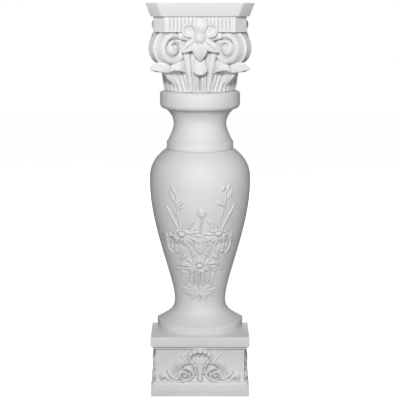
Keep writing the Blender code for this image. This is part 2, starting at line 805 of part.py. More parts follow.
def add_strip(bm, degrees_low, degrees_high):
    """A stem that climbs the bell between two leaves."""
    rings = []
    for share in (0.0, 0.33, 0.66, 1.0):
        level = 0.002 + 0.105 * share
        turn = math.radians(degrees_low + (degrees_high - degrees_low) * share)
        stand = BELL_FOOT_RADIUS + 0.006 + 0.010 * share
        half = 0.0055 + 0.002 * share
        along = Vector((math.cos(turn), math.sin(turn), 0.0))
        out = Vector((math.sin(turn), -math.cos(turn), 0.0))
        base = Vector((0.0, 0.0, CAPITAL_FOOT + level))
        ring = []
        for side, depth in ((-1.0, -0.014), (-0.7, 0.0), (0.0, 0.003), (0.7, 0.0), (1.0, -0.014)):
            ring.append(base + along * (side * half) + out * (stand + depth))
        rings.append(ring)
    add_loft(bm, rings)


def add_pleats(bm, turn):
    """Upright folds on the block, on each side of the flower."""
    corner = BLOCK_HALF_WIDTH - CORNER_CUT
    foot = CAPITAL_FOOT + BELL_HEIGHT
    for offset in PLEAT_OFFSETS:
        share = offset / corner
        forward = BLOCK_HALF_WIDTH - SIDE_HOLLOW * (1.0 - share * share)
        for side in (-1.0, 1.0):
            place = on_face(turn, forward, foot)
            path = [Vector((side * offset, 0.0)), Vector((side * offset, BLOCK_HEIGHT))]
            add_ridge(bm, place, path, [PLEAT_WIDTH] * 2, PLEAT_DEPTH, STEM_SECTION)


def carving(name, adders, collection):
    """One helper mesh for what the adders make."""
    bm = bmesh.new()
    for add in adders:
        add(bm)
    return as_helper(mesh_object(name, bm, collection))


def capital_carvings(collection):
    """The carving in groups, each joined on by itself."""
    sides = (-1.0, 1.0)
    turns = (0.0, 0.5 * math.pi, -0.5 * math.pi)
    groups = {
        "face_leaves": [lambda bm, t=t: add_face_leaf(bm, math.degrees(t)) for t in turns],
        "corner_leaves": [lambda bm, s=s: add_corner_leaf(bm, s) for s in sides],
        "stems": [lambda bm, s=s: add_strip(bm, 14.0 * s, 19.0 * s) for s in sides]
        + [lambda bm, s=s: add_strip(bm, 76.0 * s, 71.0 * s) for s in sides],
        "volutes": [lambda bm, s=s: add_volute(bm, s) for s in sides],
        "flowers": [lambda bm, t=t: add_flower(bm, t) for t in turns],
        "pleats": [lambda bm, t=t: add_pleats(bm, t) for t in turns],
    }
    return [carving("capital_" + name, adders, collection) for name, adders in groups.items()]


def make_capital(parts, helpers, material):
    """The bell, the pleated block and the flaring abacus, with the carving joined on."""
    block_foot = BELL_HEIGHT
    abacus_foot = BELL_HEIGHT + BLOCK_HEIGHT
    bell = [(BELL_FOOT_RADIUS, 0.0)]
    bell += swept(
        (BELL_FOOT_RADIUS, 0.0), (BELL_TOP_RADIUS, BELL_HEIGHT), 0.0, 0.3, 0.3, 0.3, 4
    )
    bell.append((BELL_TOP_RADIUS, BELL_HEIGHT + 0.004))
    capital = turned("capital", bell, CAPITAL_FOOT, False, parts)
    capital.data.materials.append(material)
    bm = bmesh.new()
    levels = (
        (CAPITAL_FOOT + block_foot, BLOCK_HALF_WIDTH),
        (CAPITAL_FOOT + abacus_foot, BLOCK_HALF_WIDTH),
        (CAPITAL_FOOT + abacus_foot, ABACUS_LOW_HALF_WIDTH),
        (CAPITAL_FOOT + CAPITAL_HEIGHT, ABACUS_TOP_HALF_WIDTH),
    )
    add_stack(bm, cut_cornered, levels)
    join(capital, as_helper(mesh_object("abacus_and_block", bm, helpers)))
    for group in capital_carvings(helpers):
        join(capital, group)
    cut(capital, wall_cutter("capital_wall", helpers))
    return capital


def main():
    clear_scene()
    parts = new_collection("half_column")
    helpers = new_collection("half_column_cutters")
    primed = primed_material("primed_white", 0.80, 0.62)
    made = [
        make_plinth(parts, helpers, primed),
        make_shaft(parts, helpers, primed),
        make_capital(parts, helpers, primed),
    ]
    made += list(helpers.objects)
    frame = bpy.data.objects.new("column_frame", None)
    parts.objects.link(frame)
    for obj in made:
        obj.parent = frame
    frame.location = (0.0, 0.5 * COLUMN_HALF_WIDTH, 0.0)


main()
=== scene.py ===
"""The looks of the half-round column: its plinth, vase shaft and leafy capital in primed white."""

import math

import bpy
import numpy as np
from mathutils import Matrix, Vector

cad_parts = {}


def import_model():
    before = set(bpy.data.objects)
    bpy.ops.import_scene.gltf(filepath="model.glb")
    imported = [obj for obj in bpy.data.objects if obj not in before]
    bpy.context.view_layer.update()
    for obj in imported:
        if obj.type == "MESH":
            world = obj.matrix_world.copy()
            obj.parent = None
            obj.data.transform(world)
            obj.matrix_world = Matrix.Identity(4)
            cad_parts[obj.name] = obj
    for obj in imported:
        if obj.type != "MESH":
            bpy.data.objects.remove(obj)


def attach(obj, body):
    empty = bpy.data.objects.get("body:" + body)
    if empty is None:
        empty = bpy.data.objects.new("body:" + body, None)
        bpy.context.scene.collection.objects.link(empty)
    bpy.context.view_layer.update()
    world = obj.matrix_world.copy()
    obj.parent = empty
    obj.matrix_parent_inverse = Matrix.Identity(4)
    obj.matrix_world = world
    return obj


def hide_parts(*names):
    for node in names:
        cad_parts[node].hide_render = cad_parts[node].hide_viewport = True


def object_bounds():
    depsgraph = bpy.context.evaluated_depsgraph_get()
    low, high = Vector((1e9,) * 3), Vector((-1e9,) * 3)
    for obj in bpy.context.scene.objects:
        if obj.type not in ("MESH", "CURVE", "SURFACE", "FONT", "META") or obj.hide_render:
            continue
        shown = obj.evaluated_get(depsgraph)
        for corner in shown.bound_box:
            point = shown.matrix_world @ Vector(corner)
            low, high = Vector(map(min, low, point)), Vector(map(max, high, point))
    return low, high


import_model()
cad_low, cad_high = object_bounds()
WALL = cad_high.y
MM = 0.001

# Sizes in millimetres. Heights of the shaft are above the plinth, and of the capital above its foot.

# The plinth and its carved panels
PLINTH_HALF = 127.0
LOWER_SLAB = 31.0
DIE = 103.0
UPPER_SLAB = 26.5
DIE_INSET = 12.0
FILLET_INSET = 5.5
FILLET = 7.0
PLINTH_TOP = LOWER_SLAB + DIE + UPPER_SLAB
PANEL_REACH = 113.0
PANEL_SINK = 1.0
PANEL_BACK = 4.0

# The shaft and its bouquet, with how far the bouquet's parts rise
SHAFT_HEIGHT = 622.9
BOUQUET_FOOT = 78.5
BOUQUET_HEIGHT = 328.0
STEM_RISE = 3.2
BLADE_RISE = 4.0
LEAF_RISE = 4.0
PETAL_RISE = 5.0

# The capital
CAPITAL_FOOT = PLINTH_TOP + SHAFT_HEIGHT
BELL_RADIUS = 87.0
BELL_HEIGHT = 150.0
BLOCK_HEIGHT = 37.0
BLOCK_HALF = 114.5
ABACUS_HEIGHT = 32.4
ABACUS_LOW_HALF = 121.5
ABACUS_TOP_HALF = 132.8
CORNER_CUT = 28.5
SIDE_HOLLOW = 6.5
PLEATS_END = 81.5
PLEAT_PITCH = 9.2
VOLUTE_LEVEL = 110.0
VOLUTE_RADIUS = 38.0
FLOWER_LEVEL = 135.0

# How closely the points of the carved surfaces lie, and how often the castings are eased
SHAFT_STEP = 1.15
PANEL_STEP = 0.9
LEAVES_STEP = 1.35
SCROLLS_STEP = 1.28
CASTING_PASSES = 5

# How far each back ends short of the wall plane, so that no two backs share one face
LEAVES_SHORT = 0.1
SCROLLS_SHORT = 0.3
PANELS_SHORT = 0.4
BLOCK_SHORT = 0.5

# The camera, in metres. Its distance is measured from a plane before the column's middle, which
# lies between the plinth's front and the abacus's.
FRONT = 0.063
EYE_DISTANCE = 2.5
EYE_HEIGHT = 1.0

# The sensor's width in millimetres, and the share of the picture's height that the column fills
SENSOR = 36.0
FILLED = 0.985

# The primer where it is dull and where it is clean, and the backdrop's white
DULL_WHITE = (0.74, 0.74, 0.735, 1.0)
CLEAN_WHITE = (0.79, 0.79, 0.787, 1.0)
WHITE = (1.0, 1.0, 1.0, 1.0)

# The light: the general level, what the camera sees behind and below the column, and the lamps
AMBIENT = 0.06
BACKDROP = 1.0
FLOOR_GLOW = 0.95
LAMPS = (
    # name, place, what it points at, power, size and spread in degrees
    ("key", (-0.25, -2.7, 1.85), (0.0, 0.0, 0.55), 72.0, 0.55, 180.0),
    ("rim", (2.1, -0.9, 1.3), (0.0, 0.0, 0.50), 7.0, 0.8, 180.0),
    ("capital_fill", (-1.5, -1.3, 0.80), (-0.1, 0.0, 1.02), 0.08, 0.25, 22.0),
    ("back", (0.0, 3.4, 0.5), (0.0, 0.0, 0.5), 30.0, 0.8, 180.0),
)


def deselect():
    if bpy.context.object and bpy.context.object.mode != "OBJECT":
        bpy.ops.object.mode_set(mode="OBJECT")
    bpy.ops.object.select_all(action="DESELECT")


def choose(obj):
    deselect()
    obj.select_set(True)
    bpy.context.view_layer.objects.active = obj


def apply_modifiers(obj):
    choose(obj)
    for modifier in list(obj.modifiers):
        bpy.ops.object.modifier_apply(modifier=modifier.name)


def outward(obj):
    """Merges doubled points and turns the faces outwards."""
    choose(obj)
    bpy.ops.object.mode_set(mode="EDIT")
    bpy.ops.mesh.select_all(action="SELECT")
    bpy.ops.mesh.remove_doubles(threshold=0.00001)
    bpy.ops.mesh.normals_make_consistent(inside=False)
    bpy.ops.object.mode_set(mode="OBJECT")


def new_mesh(name, points, faces):
    """An object from points in millimetres, with Y measured from the wall."""
    mesh = bpy.data.meshes.new(name)
    place = np.asarray(points, dtype=float) * MM
    place[:, 1] += WALL
    mesh.from_pydata([tuple(p) for p in place], [], faces)
    obj = bpy.data.objects.new(name, mesh)
    bpy.context.scene.collection.objects.link(obj)
    return obj


def loft(name, rings, ribbon_ends=False):
    """A closed skin over rings with equal numbers of points. A ring of one point closes an end."""
    points = []
    faces = []
    starts = []
    for ring in rings:
        starts.append(len(points))
        points.extend(ring)
    for k in range(len(rings) - 1):
        low, high = len(rings[k]), len(rings[k + 1])
        count = max(low, high)
        for i in range(count):
            j = (i + 1) % count
            corners = [
                starts[k] + i % low,
                starts[k] + j % low,
                starts[k + 1] + j % high,
                starts[k + 1] + i % high,
            ]
            # a ring of one point gives the same corner twice, which makes a triangle
            faces.append(list(dict.fromkeys(corners)))
    for k in (0, len(rings) - 1):
        count = len(rings[k])
        first, last = starts[k], starts[k] + count - 1
        if count < 3:
            continue
        if ribbon_ends:
            for i in range(count // 2 - 1):
                faces.append([first + i, first + i + 1, last - 1 - i, last - i])
        else:
            faces.append([first + i for i in range(count)])
    obj = new_mesh(name, points, faces)
    outward(obj)
    return obj


def joined(name, pieces):
    """Joins the pieces into the first of them, under a new name."""
    choose(pieces[0])
    for piece in pieces[1:]:
        piece.select_set(True)
    bpy.ops.object.join()
    pieces[0].name = name
    pieces[0].data.name = name
    return pieces[0]


def cut_at_wall(obj, short=0.0):
    """Cuts off what lies behind the wall plane, or a little before it, and closes the flat back."""
    back = (0.0, WALL - short * MM, 0.0)
    choose(obj)
    bpy.ops.object.mode_set(mode="EDIT")
    bpy.ops.mesh.select_all(action="SELECT")
    bpy.ops.mesh.bisect(plane_co=back, plane_no=(0.0, 1.0, 0.0), use_fill=True, clear_outer=True)
    bpy.ops.mesh.select_all(action="SELECT")
    bpy.ops.mesh.normals_make_consistent(inside=False)
    bpy.ops.object.mode_set(mode="OBJECT")


def melted(obj, voxel, passes):
    """Fuses overlapping shapes into one skin, softened like a casting."""
    remesh = obj.modifiers.new("fuse", "REMESH")
    remesh.mode = "VOXEL"
    remesh.voxel_size = voxel * MM
    remesh.adaptivity = 0.0
    soft = obj.modifiers.new("soften", "SMOOTH")
    soft.factor = 0.5
    soft.iterations = passes
    apply_modifiers(obj)


def soft_edges(obj, width, sharpest):
    """Rounds the edges that turn by more than an angle in degrees."""
    edge = obj.modifiers.new("soft edges", "BEVEL")
    edge.width = width * MM
    edge.segments = 3
    edge.limit_method = "ANGLE"
    edge.angle_limit = math.radians(sharpest)
    apply_modifiers(obj)


def smooth_step(low, high, value):
    """An easy change from 0 at low to 1 at high, whichever of the two is greater."""
    share = np.clip((value - low) / (high - low), 0.0, 1.0)
    return share * share * (3.0 - 2.0 * share)


def curve_through(points, steps):
    """A smooth line through the points, each of them any number of values."""
    marks = np.asarray(points, dtype=float)
    ends = np.vstack((2 * marks[0] - marks[1], marks, 2 * marks[-1] - marks[-2]))
    line = [marks[0]]
    for before, start, end, after in zip(ends, ends[1:], ends[2:], ends[3:]):
        for i in range(1, steps + 1):
            t = i / steps
            line.append(
                0.5
                * (
                    2 * start
                    + (end - before) * t
                    + (2 * before - 5 * start + 4 * end - after) * t * t
                    + (3 * start - before - 3 * end + after) * t**3
                )
            )
    return np.array(line)


# Relief drawn on a surface: x and z are millimetres across and up, and each form gives a height.


def evened(relief, passes):
    """The height field with each point eased towards its neighbours, as a mould softens an edge."""
    for _ in range(passes):
        spare = np.pad(relief, 1, mode="edge")
        rows = 0.25 * spare[:-2] + 0.5 * spare[1:-1] + 0.25 * spare[2:]
        relief = 0.25 * rows[:, :-2] + 0.5 * rows[:, 1:-1] + 0.25 * rows[:, 2:]
    return relief


def along_line(x, z, line):
    """The distance from a line of (x, z, width) points, the side, the share and the width there."""
    best = np.full(x.shape, 1e9)
    side = np.zeros(x.shape)
    share = np.zeros(x.shape)
    width = np.full(x.shape, 1.0)
    count = len(line) - 1
    for i in range(count):
        ax, az, aw = line[i]
        bx, bz, bw = line[i + 1]
        dx, dz = bx - ax, bz - az
        length = dx * dx + dz * dz
        if length < 1e-9:
            continue
        t = np.clip(((x - ax) * dx + (z - az) * dz) / length, 0.0, 1.0)
        off_x = x - ax - t * dx
        off_z = z - az - t * dz
        reach = np.hypot(off_x, off_z)
        near = reach < best
        best = np.where(near, reach, best)
        side = np.where(near, np.sign(off_x * dz - off_z * dx), side)
        share = np.where(near, (i + t) / count, share)
        width = np.where(near, aw + (bw - aw) * t, width)
    return best, side, share, width


def near_box(x, z, line, spare):
    """Which points are close enough to a line to be touched by it."""
    low = line[:, :2].min(axis=0) - spare
    high = line[:, :2].max(axis=0) + spare
    return (x > low[0]) & (x < high[0]) & (z > low[1]) & (z < high[1])


def ridge(relief, x, z, points, height, flutes=0, flute_depth=0.0, groove=0.0, steps=5, rounding=0.5):
    """Raises a ridge along (x, z, width) points, with flutes along it or a sunk middle line."""
    line = curve_through(points, steps)
    line[:, 2] = np.maximum(line[:, 2], 0.2)
    spare = line[:, 2].max()
    inside = near_box(x, z, line, spare)
    px, pz = x[inside], z[inside]
    away, side, _, width = along_line(px, pz, line)
    across = away / (0.5 * width)
    fat = np.minimum(1.0, 0.45 + 0.55 * width / line[:, 2].max())
    rise = np.where(across < 1.0, np.power(np.maximum(0.0, 1.0 - across**2), rounding), 0.0) * height * fat
    if flutes:
        wave = 0.5 - 0.5 * np.cos(across * side * math.pi * flutes)
        rise = rise - flute_depth * wave * (across < 1.0) * smooth_step(0.0, 0.25, 1.0 - across)
    if groove:
        rise = rise - groove * np.exp(-((away / (0.12 * width + 0.35)) ** 2)) * (across < 1.0)
    current = relief[inside]
    relief[inside] = np.maximum(current, rise)


def leaf(relief, x, z, root, tip, width, height, bend=0.0, veins=0, groove=0.9):
    """A flat leaf with a sunk midrib and side veins, and a crisp, slightly raised rim."""
    start, end = np.array(root, float), np.array(tip, float)
    span = end - start
    normal = np.array((-span[1], span[0])) * bend
    middle = 0.5 * (start + end) + normal
    shares = np.linspace(0.0, 1.0, 9)
    line = []
    for t in shares:
        spot = (1 - t) ** 2 * start + 2 * t * (1 - t) * middle + t * t * end
        fat = math.sin(math.pi * min(1.0, 0.06 + 0.94 * t) ** 0.85) ** 0.75 if t < 1.0 else 0.08
        line.append((spot[0], spot[1], width * max(fat, 0.10)))
    line = np.array(line)
    inside = near_box(x, z, line, width)
    px, pz = x[inside], z[inside]
    away, _, share, wide = along_line(px, pz, line)
    across = away / (0.5 * wide)
    body = smooth_step(1.0, 0.72, across) * (0.72 + 0.28 * across**2)
    rise = height * body
    rise = rise - groove * np.exp(-((away / 0.9) ** 2)) * (across < 1.0)
    if veins:
        wave = 0.5 + 0.5 * np.cos((share * veins - across * 0.45) * math.tau)
        rise = rise - 0.45 * wave * (across < 0.9) * (across > 0.15)
    current = relief[inside]
    relief[inside] = np.maximum(current, rise)


def knob(relief, x, z, centre, radius, height, squash=1.0, dimple=0.0):
    """A domed bud, with a sunk middle if it is open."""
    away = np.hypot(x - centre[0], (z - centre[1]) / squash) / radius
    rise = height * np.sqrt(np.maximum(0.0, 1.0 - away**2))
    if dimple:
        rise = rise - dimple * np.exp(-((away / 0.38) ** 2))
        rise = rise - 0.4 * dimple * np.exp(-(((away - 0.72) / 0.10) ** 2))
    np.maximum(relief, rise, out=relief)


def petal_reach(reaches, turn):
    """How far the petals go at a turn, from how far they go right, up, left and down."""
    right, up, left, down = reaches
    sideways = right if math.cos(turn) > 0.0 else left
    upright = up if math.sin(turn) > 0.0 else down
    return 1.0 / math.hypot(math.cos(turn) / sideways, math.sin(turn) / upright)


def daisy(relief, x, z, centre, reaches, petals, height, eye):
    """A daisy seen at a slant: petals of uneven length in two layers round a domed eye."""
    right, up, left, down = reaches
    spread_x = np.where(x > centre[0], right, left)
    spread_z = np.where(z > centre[1], up, down)
    ground = np.hypot((x - centre[0]) / spread_x, (z - centre[1]) / spread_z)
    relief -= 1.2 * smooth_step(1.02, 0.80, ground) * (relief < 1.5)
    for layer in (0, 1):
        for i in range(petals):
            turn = math.tau * (i + 0.5 * layer) / petals + 0.13 * math.sin(5.0 * i + layer)
            reach = petal_reach(reaches, turn) * (0.86 + 0.14 * math.sin(2.7 * i + 1.3 * layer))
            if layer:
                reach *= 0.84
            start = 0.75 * eye
            way = np.array((math.cos(turn), math.sin(turn)))
            squash = abs(way[0]) + abs(way[1]) * 0.8
            points = []
            for t, fat in ((0.0, 0.42), (0.35, 0.70), (0.75, 0.92), (1.0, 0.60)):
                spot = np.array(centre) + way * (start + (reach - start) * t)
                droop = 0.05 * reach * t * t * abs(way[0])
                points.append((spot[0], spot[1] - droop, 6.6 * fat * squash))
            rise = height * (1.0 if layer else 0.60)
            ridge(relief, x, z, points, rise, groove=0.7, steps=3, rounding=0.42)
    away = np.hypot(x - centre[0], (z - centre[1]) / 0.82) / eye
    ring = np.exp(-(((away - 1.08) / 0.14) ** 2))
    relief -= 1.6 * ring * (relief > 0.3)
    seeds = 0.25 * np.sin(x * 2.9) * np.sin(z * 2.9)
    dome = (height + 2.2) * np.sqrt(np.maximum(0.0, 1.0 - away**2)) + seeds * (away < 0.9)
    np.maximum(relief, dome, out=relief)


# The bouquet, in millimetres from the shaft's middle line and above the bouquet's foot

BOUQUET_LEAVES = (
    # root, tip, width and bend
    ((-61, 290), (-73, 319), 7.5, 0.05),
    ((-61, 268), (-77, 303), 8.5, 0.05),
    ((-60, 293), (-51, 309), 5.5, 0.0),
    ((-59, 258), (-38, 278), 7.5, 0.1),
    ((-58, 255), (-40, 264), 5.0, -0.1),
    ((-52, 229), (-66, 262), 6.5, 0.05),
    ((69, 302), (75, 322), 7.0, 0.0),
    ((68, 279), (81, 304), 7.5, -0.05),
    ((64, 262), (49, 276), 8.5, 0.1),
    ((-46, 207), (-14, 229), 13.0, -0.15),
    ((-42, 203), (-20, 214), 9.0, -0.1),
    ((46, 209), (20, 229), 12.0, 0.15),
    ((42, 204), (24, 213), 8.0, 0.1),
    ((1, 138), (-13, 172), 10.0, 0.12),
    ((1, 138), (15, 172), 10.0, -0.12),
    ((0, 136), (1, 166), 9.0, 0.0),
    ((-51, 160), (-47, 124), 11.0, 0.1),
    ((52, 158), (43, 126), 11.0, -0.1),
    ((-30, 162), (-17, 126), 10.0, 0.1),
    ((28, 160), (19, 126), 10.0, -0.1),
    ((-38, 86), (-31, 48), 12.0, 0.12),
    ((-22, 86), (-19, 44), 12.0, 0.06),
    ((6, 84), (8, 46), 11.0, 0.0),
    ((24, 86), (17, 48), 12.0, -0.1),
    ((-4, 26), (-53, 38), 17.0, 0.06),
    ((-4, 24), (-26, 4), 14.0, -0.1),
    ((-1, 24), (42, 34), 17.0, -0.06),
    ((0, 22), (18, 2), 13.0, 0.1),
    ((-44, 76), (-34, 42), 8.0, 0.1),
    ((36, 80), (27, 42), 10.0, -0.1),
    ((-10, 82), (-8, 44), 9.0, 0.0),
    ((-30, 44), (-6, 30), 9.0, 0.1),
    ((26, 44), (2, 30), 9.0, -0.1),
    ((-4, 30), (-40, 50), 9.0, -0.05),
    ((-1, 28), (34, 47), 9.0, 0.05),
    ((-2, 24), (-44, 18), 11.0, -0.06),
    ((-1, 22), (36, 16), 11.0, 0.06),
    ((-18, 160), (-30, 178), 9.0, 0.1),
    ((20, 160), (30, 180), 9.0, -0.1),
    ((-6, 168), (-22, 188), 8.0, 0.0),
    ((8, 168), (22, 188), 8.0, 0.0),
    ((-62, 158), (-58, 132), 8.0, 0.1),
    ((60, 160), (55, 134), 8.0, -0.1),
    ((-36, 130), (-52, 118), 8.0, 0.1),
    ((34, 130), (50, 120), 8.0, -0.1),
    ((-10, 206), (-30, 200), 7.0, 0.1),
    ((-88, 184), (-90, 158), 7.0, 0.1),
    ((82, 186), (84, 160), 7.0, -0.1),
)
BOUQUET_BLADES = (
    # across, height and width
    ((-51, 196, 4.5), (-68, 228, 5.0), (-84, 258, 4.5)),
    ((54, 200, 4.5), (70, 232, 5.0), (87, 262, 4.5)),
)
BOUQUET_STEMS = (
    # across, height and width
    ((-48, 196, 3.6), (-53, 232, 3.2), (-57, 262, 3.0), (-61, 300, 2.4)),
    ((50, 198, 3.6), (49, 216, 3.2), (56, 248, 3.0), (64, 280, 2.8), (64, 300, 2.4)),
    ((2, 196, 3.4), (3, 216, 3.2), (5, 238, 3.2)),
    ((-84, 172, 4.0), (-82, 152, 5.0), (-76, 140, 5.5), (-68, 132, 3.0)),
    ((77, 174, 4.0), (77, 154, 5.0), (72, 142, 5.5), (64, 132, 3.0)),
    ((-66, 176, 3.0), (-72, 160, 4.0), (-70, 148, 4.5)),
    ((64, 178, 3.0), (69, 162, 4.0), (66, 150, 4.5)),
    ((-1, 92, 3.5), (-2, 50, 3.5), (-4, 22, 4.5), (1, 4, 3.5)),
    ((-44, 186, 3.0), (-22, 150, 3.4), (-12, 124, 3.0)),
    ((44, 188, 3.0), (22, 152, 3.4), (12, 124, 3.0)),
    ((-57, 92, 2.5), (-46, 104, 2.5), (-30, 108, 2.5)),
    ((55, 93, 2.5), (46, 104, 2.5), (30, 108, 2.5)),
)
BOUQUET_BUDS = (
    # centre, radius, rise, squash and dimple
    ((4.6, 246), 10.5, 5.0, 1.1, 1.8),
    ((58, 308), 5.5, 4.0, 1.2, 0.0),
    ((47, 271), 6.0, 4.0, 1.0, 2.0),
    ((-86, 178), 6.0, 3.5, 1.2, 0.0),
    ((78, 180), 6.0, 3.5, 1.2, 0.0),
    ((-75, 184), 5.0, 3.5, 1.2, 0.0),
    ((70, 186), 5.0, 3.5, 1.2, 0.0),
    ((-59, 139), 5.0, 4.5, 1.0, 0.0),
    ((56, 140), 5.0, 4.5, 1.0, 0.0),
    ((-57, 91), 4.5, 4.0, 1.0, 0.0),
    ((55, 92), 4.5, 4.0, 1.0, 0.0),
    ((37, 86), 4.0, 4.0, 1.0, 0.0),
    ((-43, 82), 4.5, 4.0, 1.0, 0.0),
    ((55, 240), 3.0, 3.5, 1.0, 0.0),
)
BOUQUET_DAISIES = (
    # centre, reaches to the right, up, left and down, petals and eye
    ((-47, 188), (58, 16, 30, 32), 18, 9.5),
    ((47, 190), (26, 15, 44, 32), 17, 9.0),
    ((-1, 102), (52, 26, 54, 25), 20, 8.5),
)


def bouquet_relief(x, z):
    """The height of the bouquet over the shaft, at x from the axis and z above its own foot."""
    relief = np.zeros(x.shape)
    for points in BOUQUET_STEMS:
        ridge(relief, x, z, points, STEM_RISE, rounding=0.4)
    for points in BOUQUET_BLADES:
        ridge(relief, x, z, points, BLADE_RISE, groove=1.2, rounding=0.3)
    for root, tip, width, bend in BOUQUET_LEAVES:
        leaf(relief, x, z, root, tip, width, LEAF_RISE, bend, veins=5, groove=1.6)
    for centre, radius, height, squash, dimple in BOUQUET_BUDS:
        knob(relief, x, z, centre, radius, height, squash, dimple)
    for centre, reaches, petals, eye in BOUQUET_DAISIES:
        daisy(relief, x, z, centre, reaches, petals, PETAL_RISE, eye)
    return relief


def bezier(p0, p1, p2, p3, steps):
    """The points of a curve between p0 and p3, without the first."""
    t = np.linspace(0.0, 1.0, steps + 1)[1:, None]
    s = 1.0 - t
    curve = s**3 * p0 + 3 * s * s * t * p1 + 3 * s * t * t * p2 + t**3 * p3
    return [tuple(p) for p in curve]


def swept(low, high, low_lean, high_lean, low_reach, high_reach, steps):
    """A stretch of outline that leaves each end at its own lean, and keeps to it for its reach."""
    rise = high[1] - low[1]
    first = (low[0] + low_lean * low_reach * rise, low[1] + low_reach * rise)
    second = (high[0] - high_lean * high_reach * rise, high[1] - high_reach * rise)
    return bezier(np.array(low), np.array(first), np.array(second), np.array(high), steps)


def shaft_outline():
    """(radius, height above the plinth) from the foot up, in millimetres."""
    outline = [(113.3, 0.3), (113.5, 1.0), (113.5, 16.4), (113.1, 18.2), (112.0, 19.7), (110.0, 20.5)]
    outline += swept((110.0, 20.5), (67.0, 69.0), -2.0, 0.0, 0.39, 0.45, 30)
    outline += swept((67.0, 69.0), (98.9, 203.3), 0.0, 0.278, 0.22, 0.335, 34)
    outline += swept((98.9, 203.3), (131.3, 386.0), 0.278, 0.0, 0.33, 0.33, 46)
    outline += swept((131.3, 386.0), (90.0, 471.5), 0.0, -1.2, 0.51, 0.257, 34)
    outline += [(86.4, 472.6), (86.2, 473.6), (86.2, 491.0), (85.6, 492.0), (83.2, 494.0)]
    outline += swept((83.2, 494.0), (68.0, 539.0), -0.47, 0.0, 0.386, 0.35, 20)
    outline += swept((68.0, 539.0), (90.4, 576.5), 0.0, 2.0, 0.425, 0.12, 22)
    for degrees in range(9, 91, 9):
        turn = math.radians(degrees)
        outline.append((90.4 + 12.5 * math.sin(turn), 589.0 - 12.5 * math.cos(turn)))
    outline += [(102.9, 600.0), (102.9, 614.3), (102.6, 616.4)]
    outline += [(101.6, 618.2), (99.9, 619.6), (93.4, 622.6)]
    return np.array(outline)


def respaced(outline, low, high, step):
    """The outline with evenly spaced points between two levels."""
    length = np.concatenate(([0.0], np.cumsum(np.hypot(*np.diff(outline, axis=0).T))))
    first, last = np.flatnonzero((outline[:, 1] > low) & (outline[:, 1] < high))[[0, -1]]
    count = int((length[last] - length[first]) / step)
    even = np.linspace(length[first], length[last], count + 1)
    marks = np.concatenate((length[:first], even, length[last + 1 :]))
    return np.column_stack([np.interp(marks, length, values) for values in outline.T])


def front_turns(half_fine, fine, coarse):
    """Turns from -90 to 90 degrees, closer together at the front."""
    middle = np.linspace(-half_fine, half_fine, fine)
    side = np.linspace(-90.0, -half_fine, coarse)[:-1]
    return np.radians(np.concatenate((side, middle, -side[::-1])))


def carved_shaft():
    """The turned shaft with the bouquet raised on its front."""
    outline = respaced(shaft_outline(), BOUQUET_FOOT - 4.0, BOUQUET_FOOT + BOUQUET_HEIGHT, SHAFT_STEP)
    turns = front_turns(54.0, 203, 12)
    rows, columns = len(outline), len(turns)
    deselect()
    bpy.ops.mesh.primitive_grid_add(x_subdivisions=columns - 1, y_subdivisions=rows - 1, size=1.0)
    shaft = bpy.context.object
    shaft.name = "vase_shaft"
    shaft.data.name = "vase_shaft"
    lean = np.clip(np.gradient(outline[:, 0]) / np.maximum(np.gradient(outline[:, 1]), 0.05), -3.0, 3.0)
    radius = outline[:, 0][:, None] * np.ones(columns)
    level = outline[:, 1][:, None] * np.ones(columns)
    turn = np.ones((rows, 1)) * turns
    away = np.hypot(1.0, lean)[:, None]
    x = radius * np.sin(turn)
    relief = bouquet_relief(x.ravel(), (level - BOUQUET_FOOT).ravel()).reshape(x.shape)
    relief = np.where(level < BOUQUET_FOOT - 3.0, 0.0, relief)
    relief = evened(relief, 1)
    radius = radius + relief / away
    level = level - relief * lean[:, None] / away
    place = np.empty((rows, columns, 3))
    place[..., 0] = radius * np.sin(turn)
    place[..., 1] = -radius * np.cos(turn)
    place[..., 2] = level + PLINTH_TOP
    place[:, 0, 1] = 0.0
    place[:, -1, 1] = 0.0
    place *= MM
    place[..., 1] += WALL
    shaft.data.vertices.foreach_set("co", place.ravel())
    shaft.data.update()
    grid = np.arange(rows * columns).reshape(rows, columns)
    edge_sets = (grid[0], grid[-1], np.concatenate((grid[:, 0], grid[:, -1])))
    bpy.ops.object.mode_set(mode="EDIT")
    bpy.ops.mesh.select_mode(type="VERT")
    for chosen in edge_sets:
        bpy.ops.mesh.select_all(action="DESELECT")
        bpy.ops.object.mode_set(mode="OBJECT")
        flags = np.zeros(rows * columns, dtype=bool)
        flags[chosen] = True
        shaft.data.vertices.foreach_set("select", flags)
        bpy.ops.object.mode_set(mode="EDIT")
        bpy.ops.mesh.edge_face_add()
    bpy.ops.mesh.select_all(action="SELECT")
    bpy.ops.mesh.normals_make_consistent(inside=False)
    bpy.ops.object.mode_set(mode="OBJECT")
    return shaft


def half_square_stack(name, levels, bevel):
    """A block on a half-square plan, as wide at each level as its (height, half width) says."""
    rings = []
    for z, half in levels:
        rings.append([(-half, 0.0, z), (-half, -half, z), (half, -half, z), (half, 0.0, z)])
    block = loft(name, rings)
    soft_edges(block, bevel, 30.0)
    return block


def plain_plinth():
    """The plinth's two slabs, with the sunk die and its fillets between them."""
    die = PLINTH_HALF - DIE_INSET
    fillet = PLINTH_HALF - FILLET_INSET
    die_top = LOWER_SLAB + DIE
    levels = (
        (0.0, PLINTH_HALF),
        (LOWER_SLAB, PLINTH_HALF),
        (LOWER_SLAB, fillet),
        (LOWER_SLAB + FILLET, fillet),
        (LOWER_SLAB + FILLET, die),
        (die_top - FILLET, die),
        (die_top - FILLET, fillet),
        (die_top, fillet),
        (die_top, PLINTH_HALF),
        (PLINTH_TOP, PLINTH_HALF),
    )
    return half_square_stack("plinth_block", levels, 1.0)


# The ornament of the plinth, one half of it, in millimetres across and above the floor

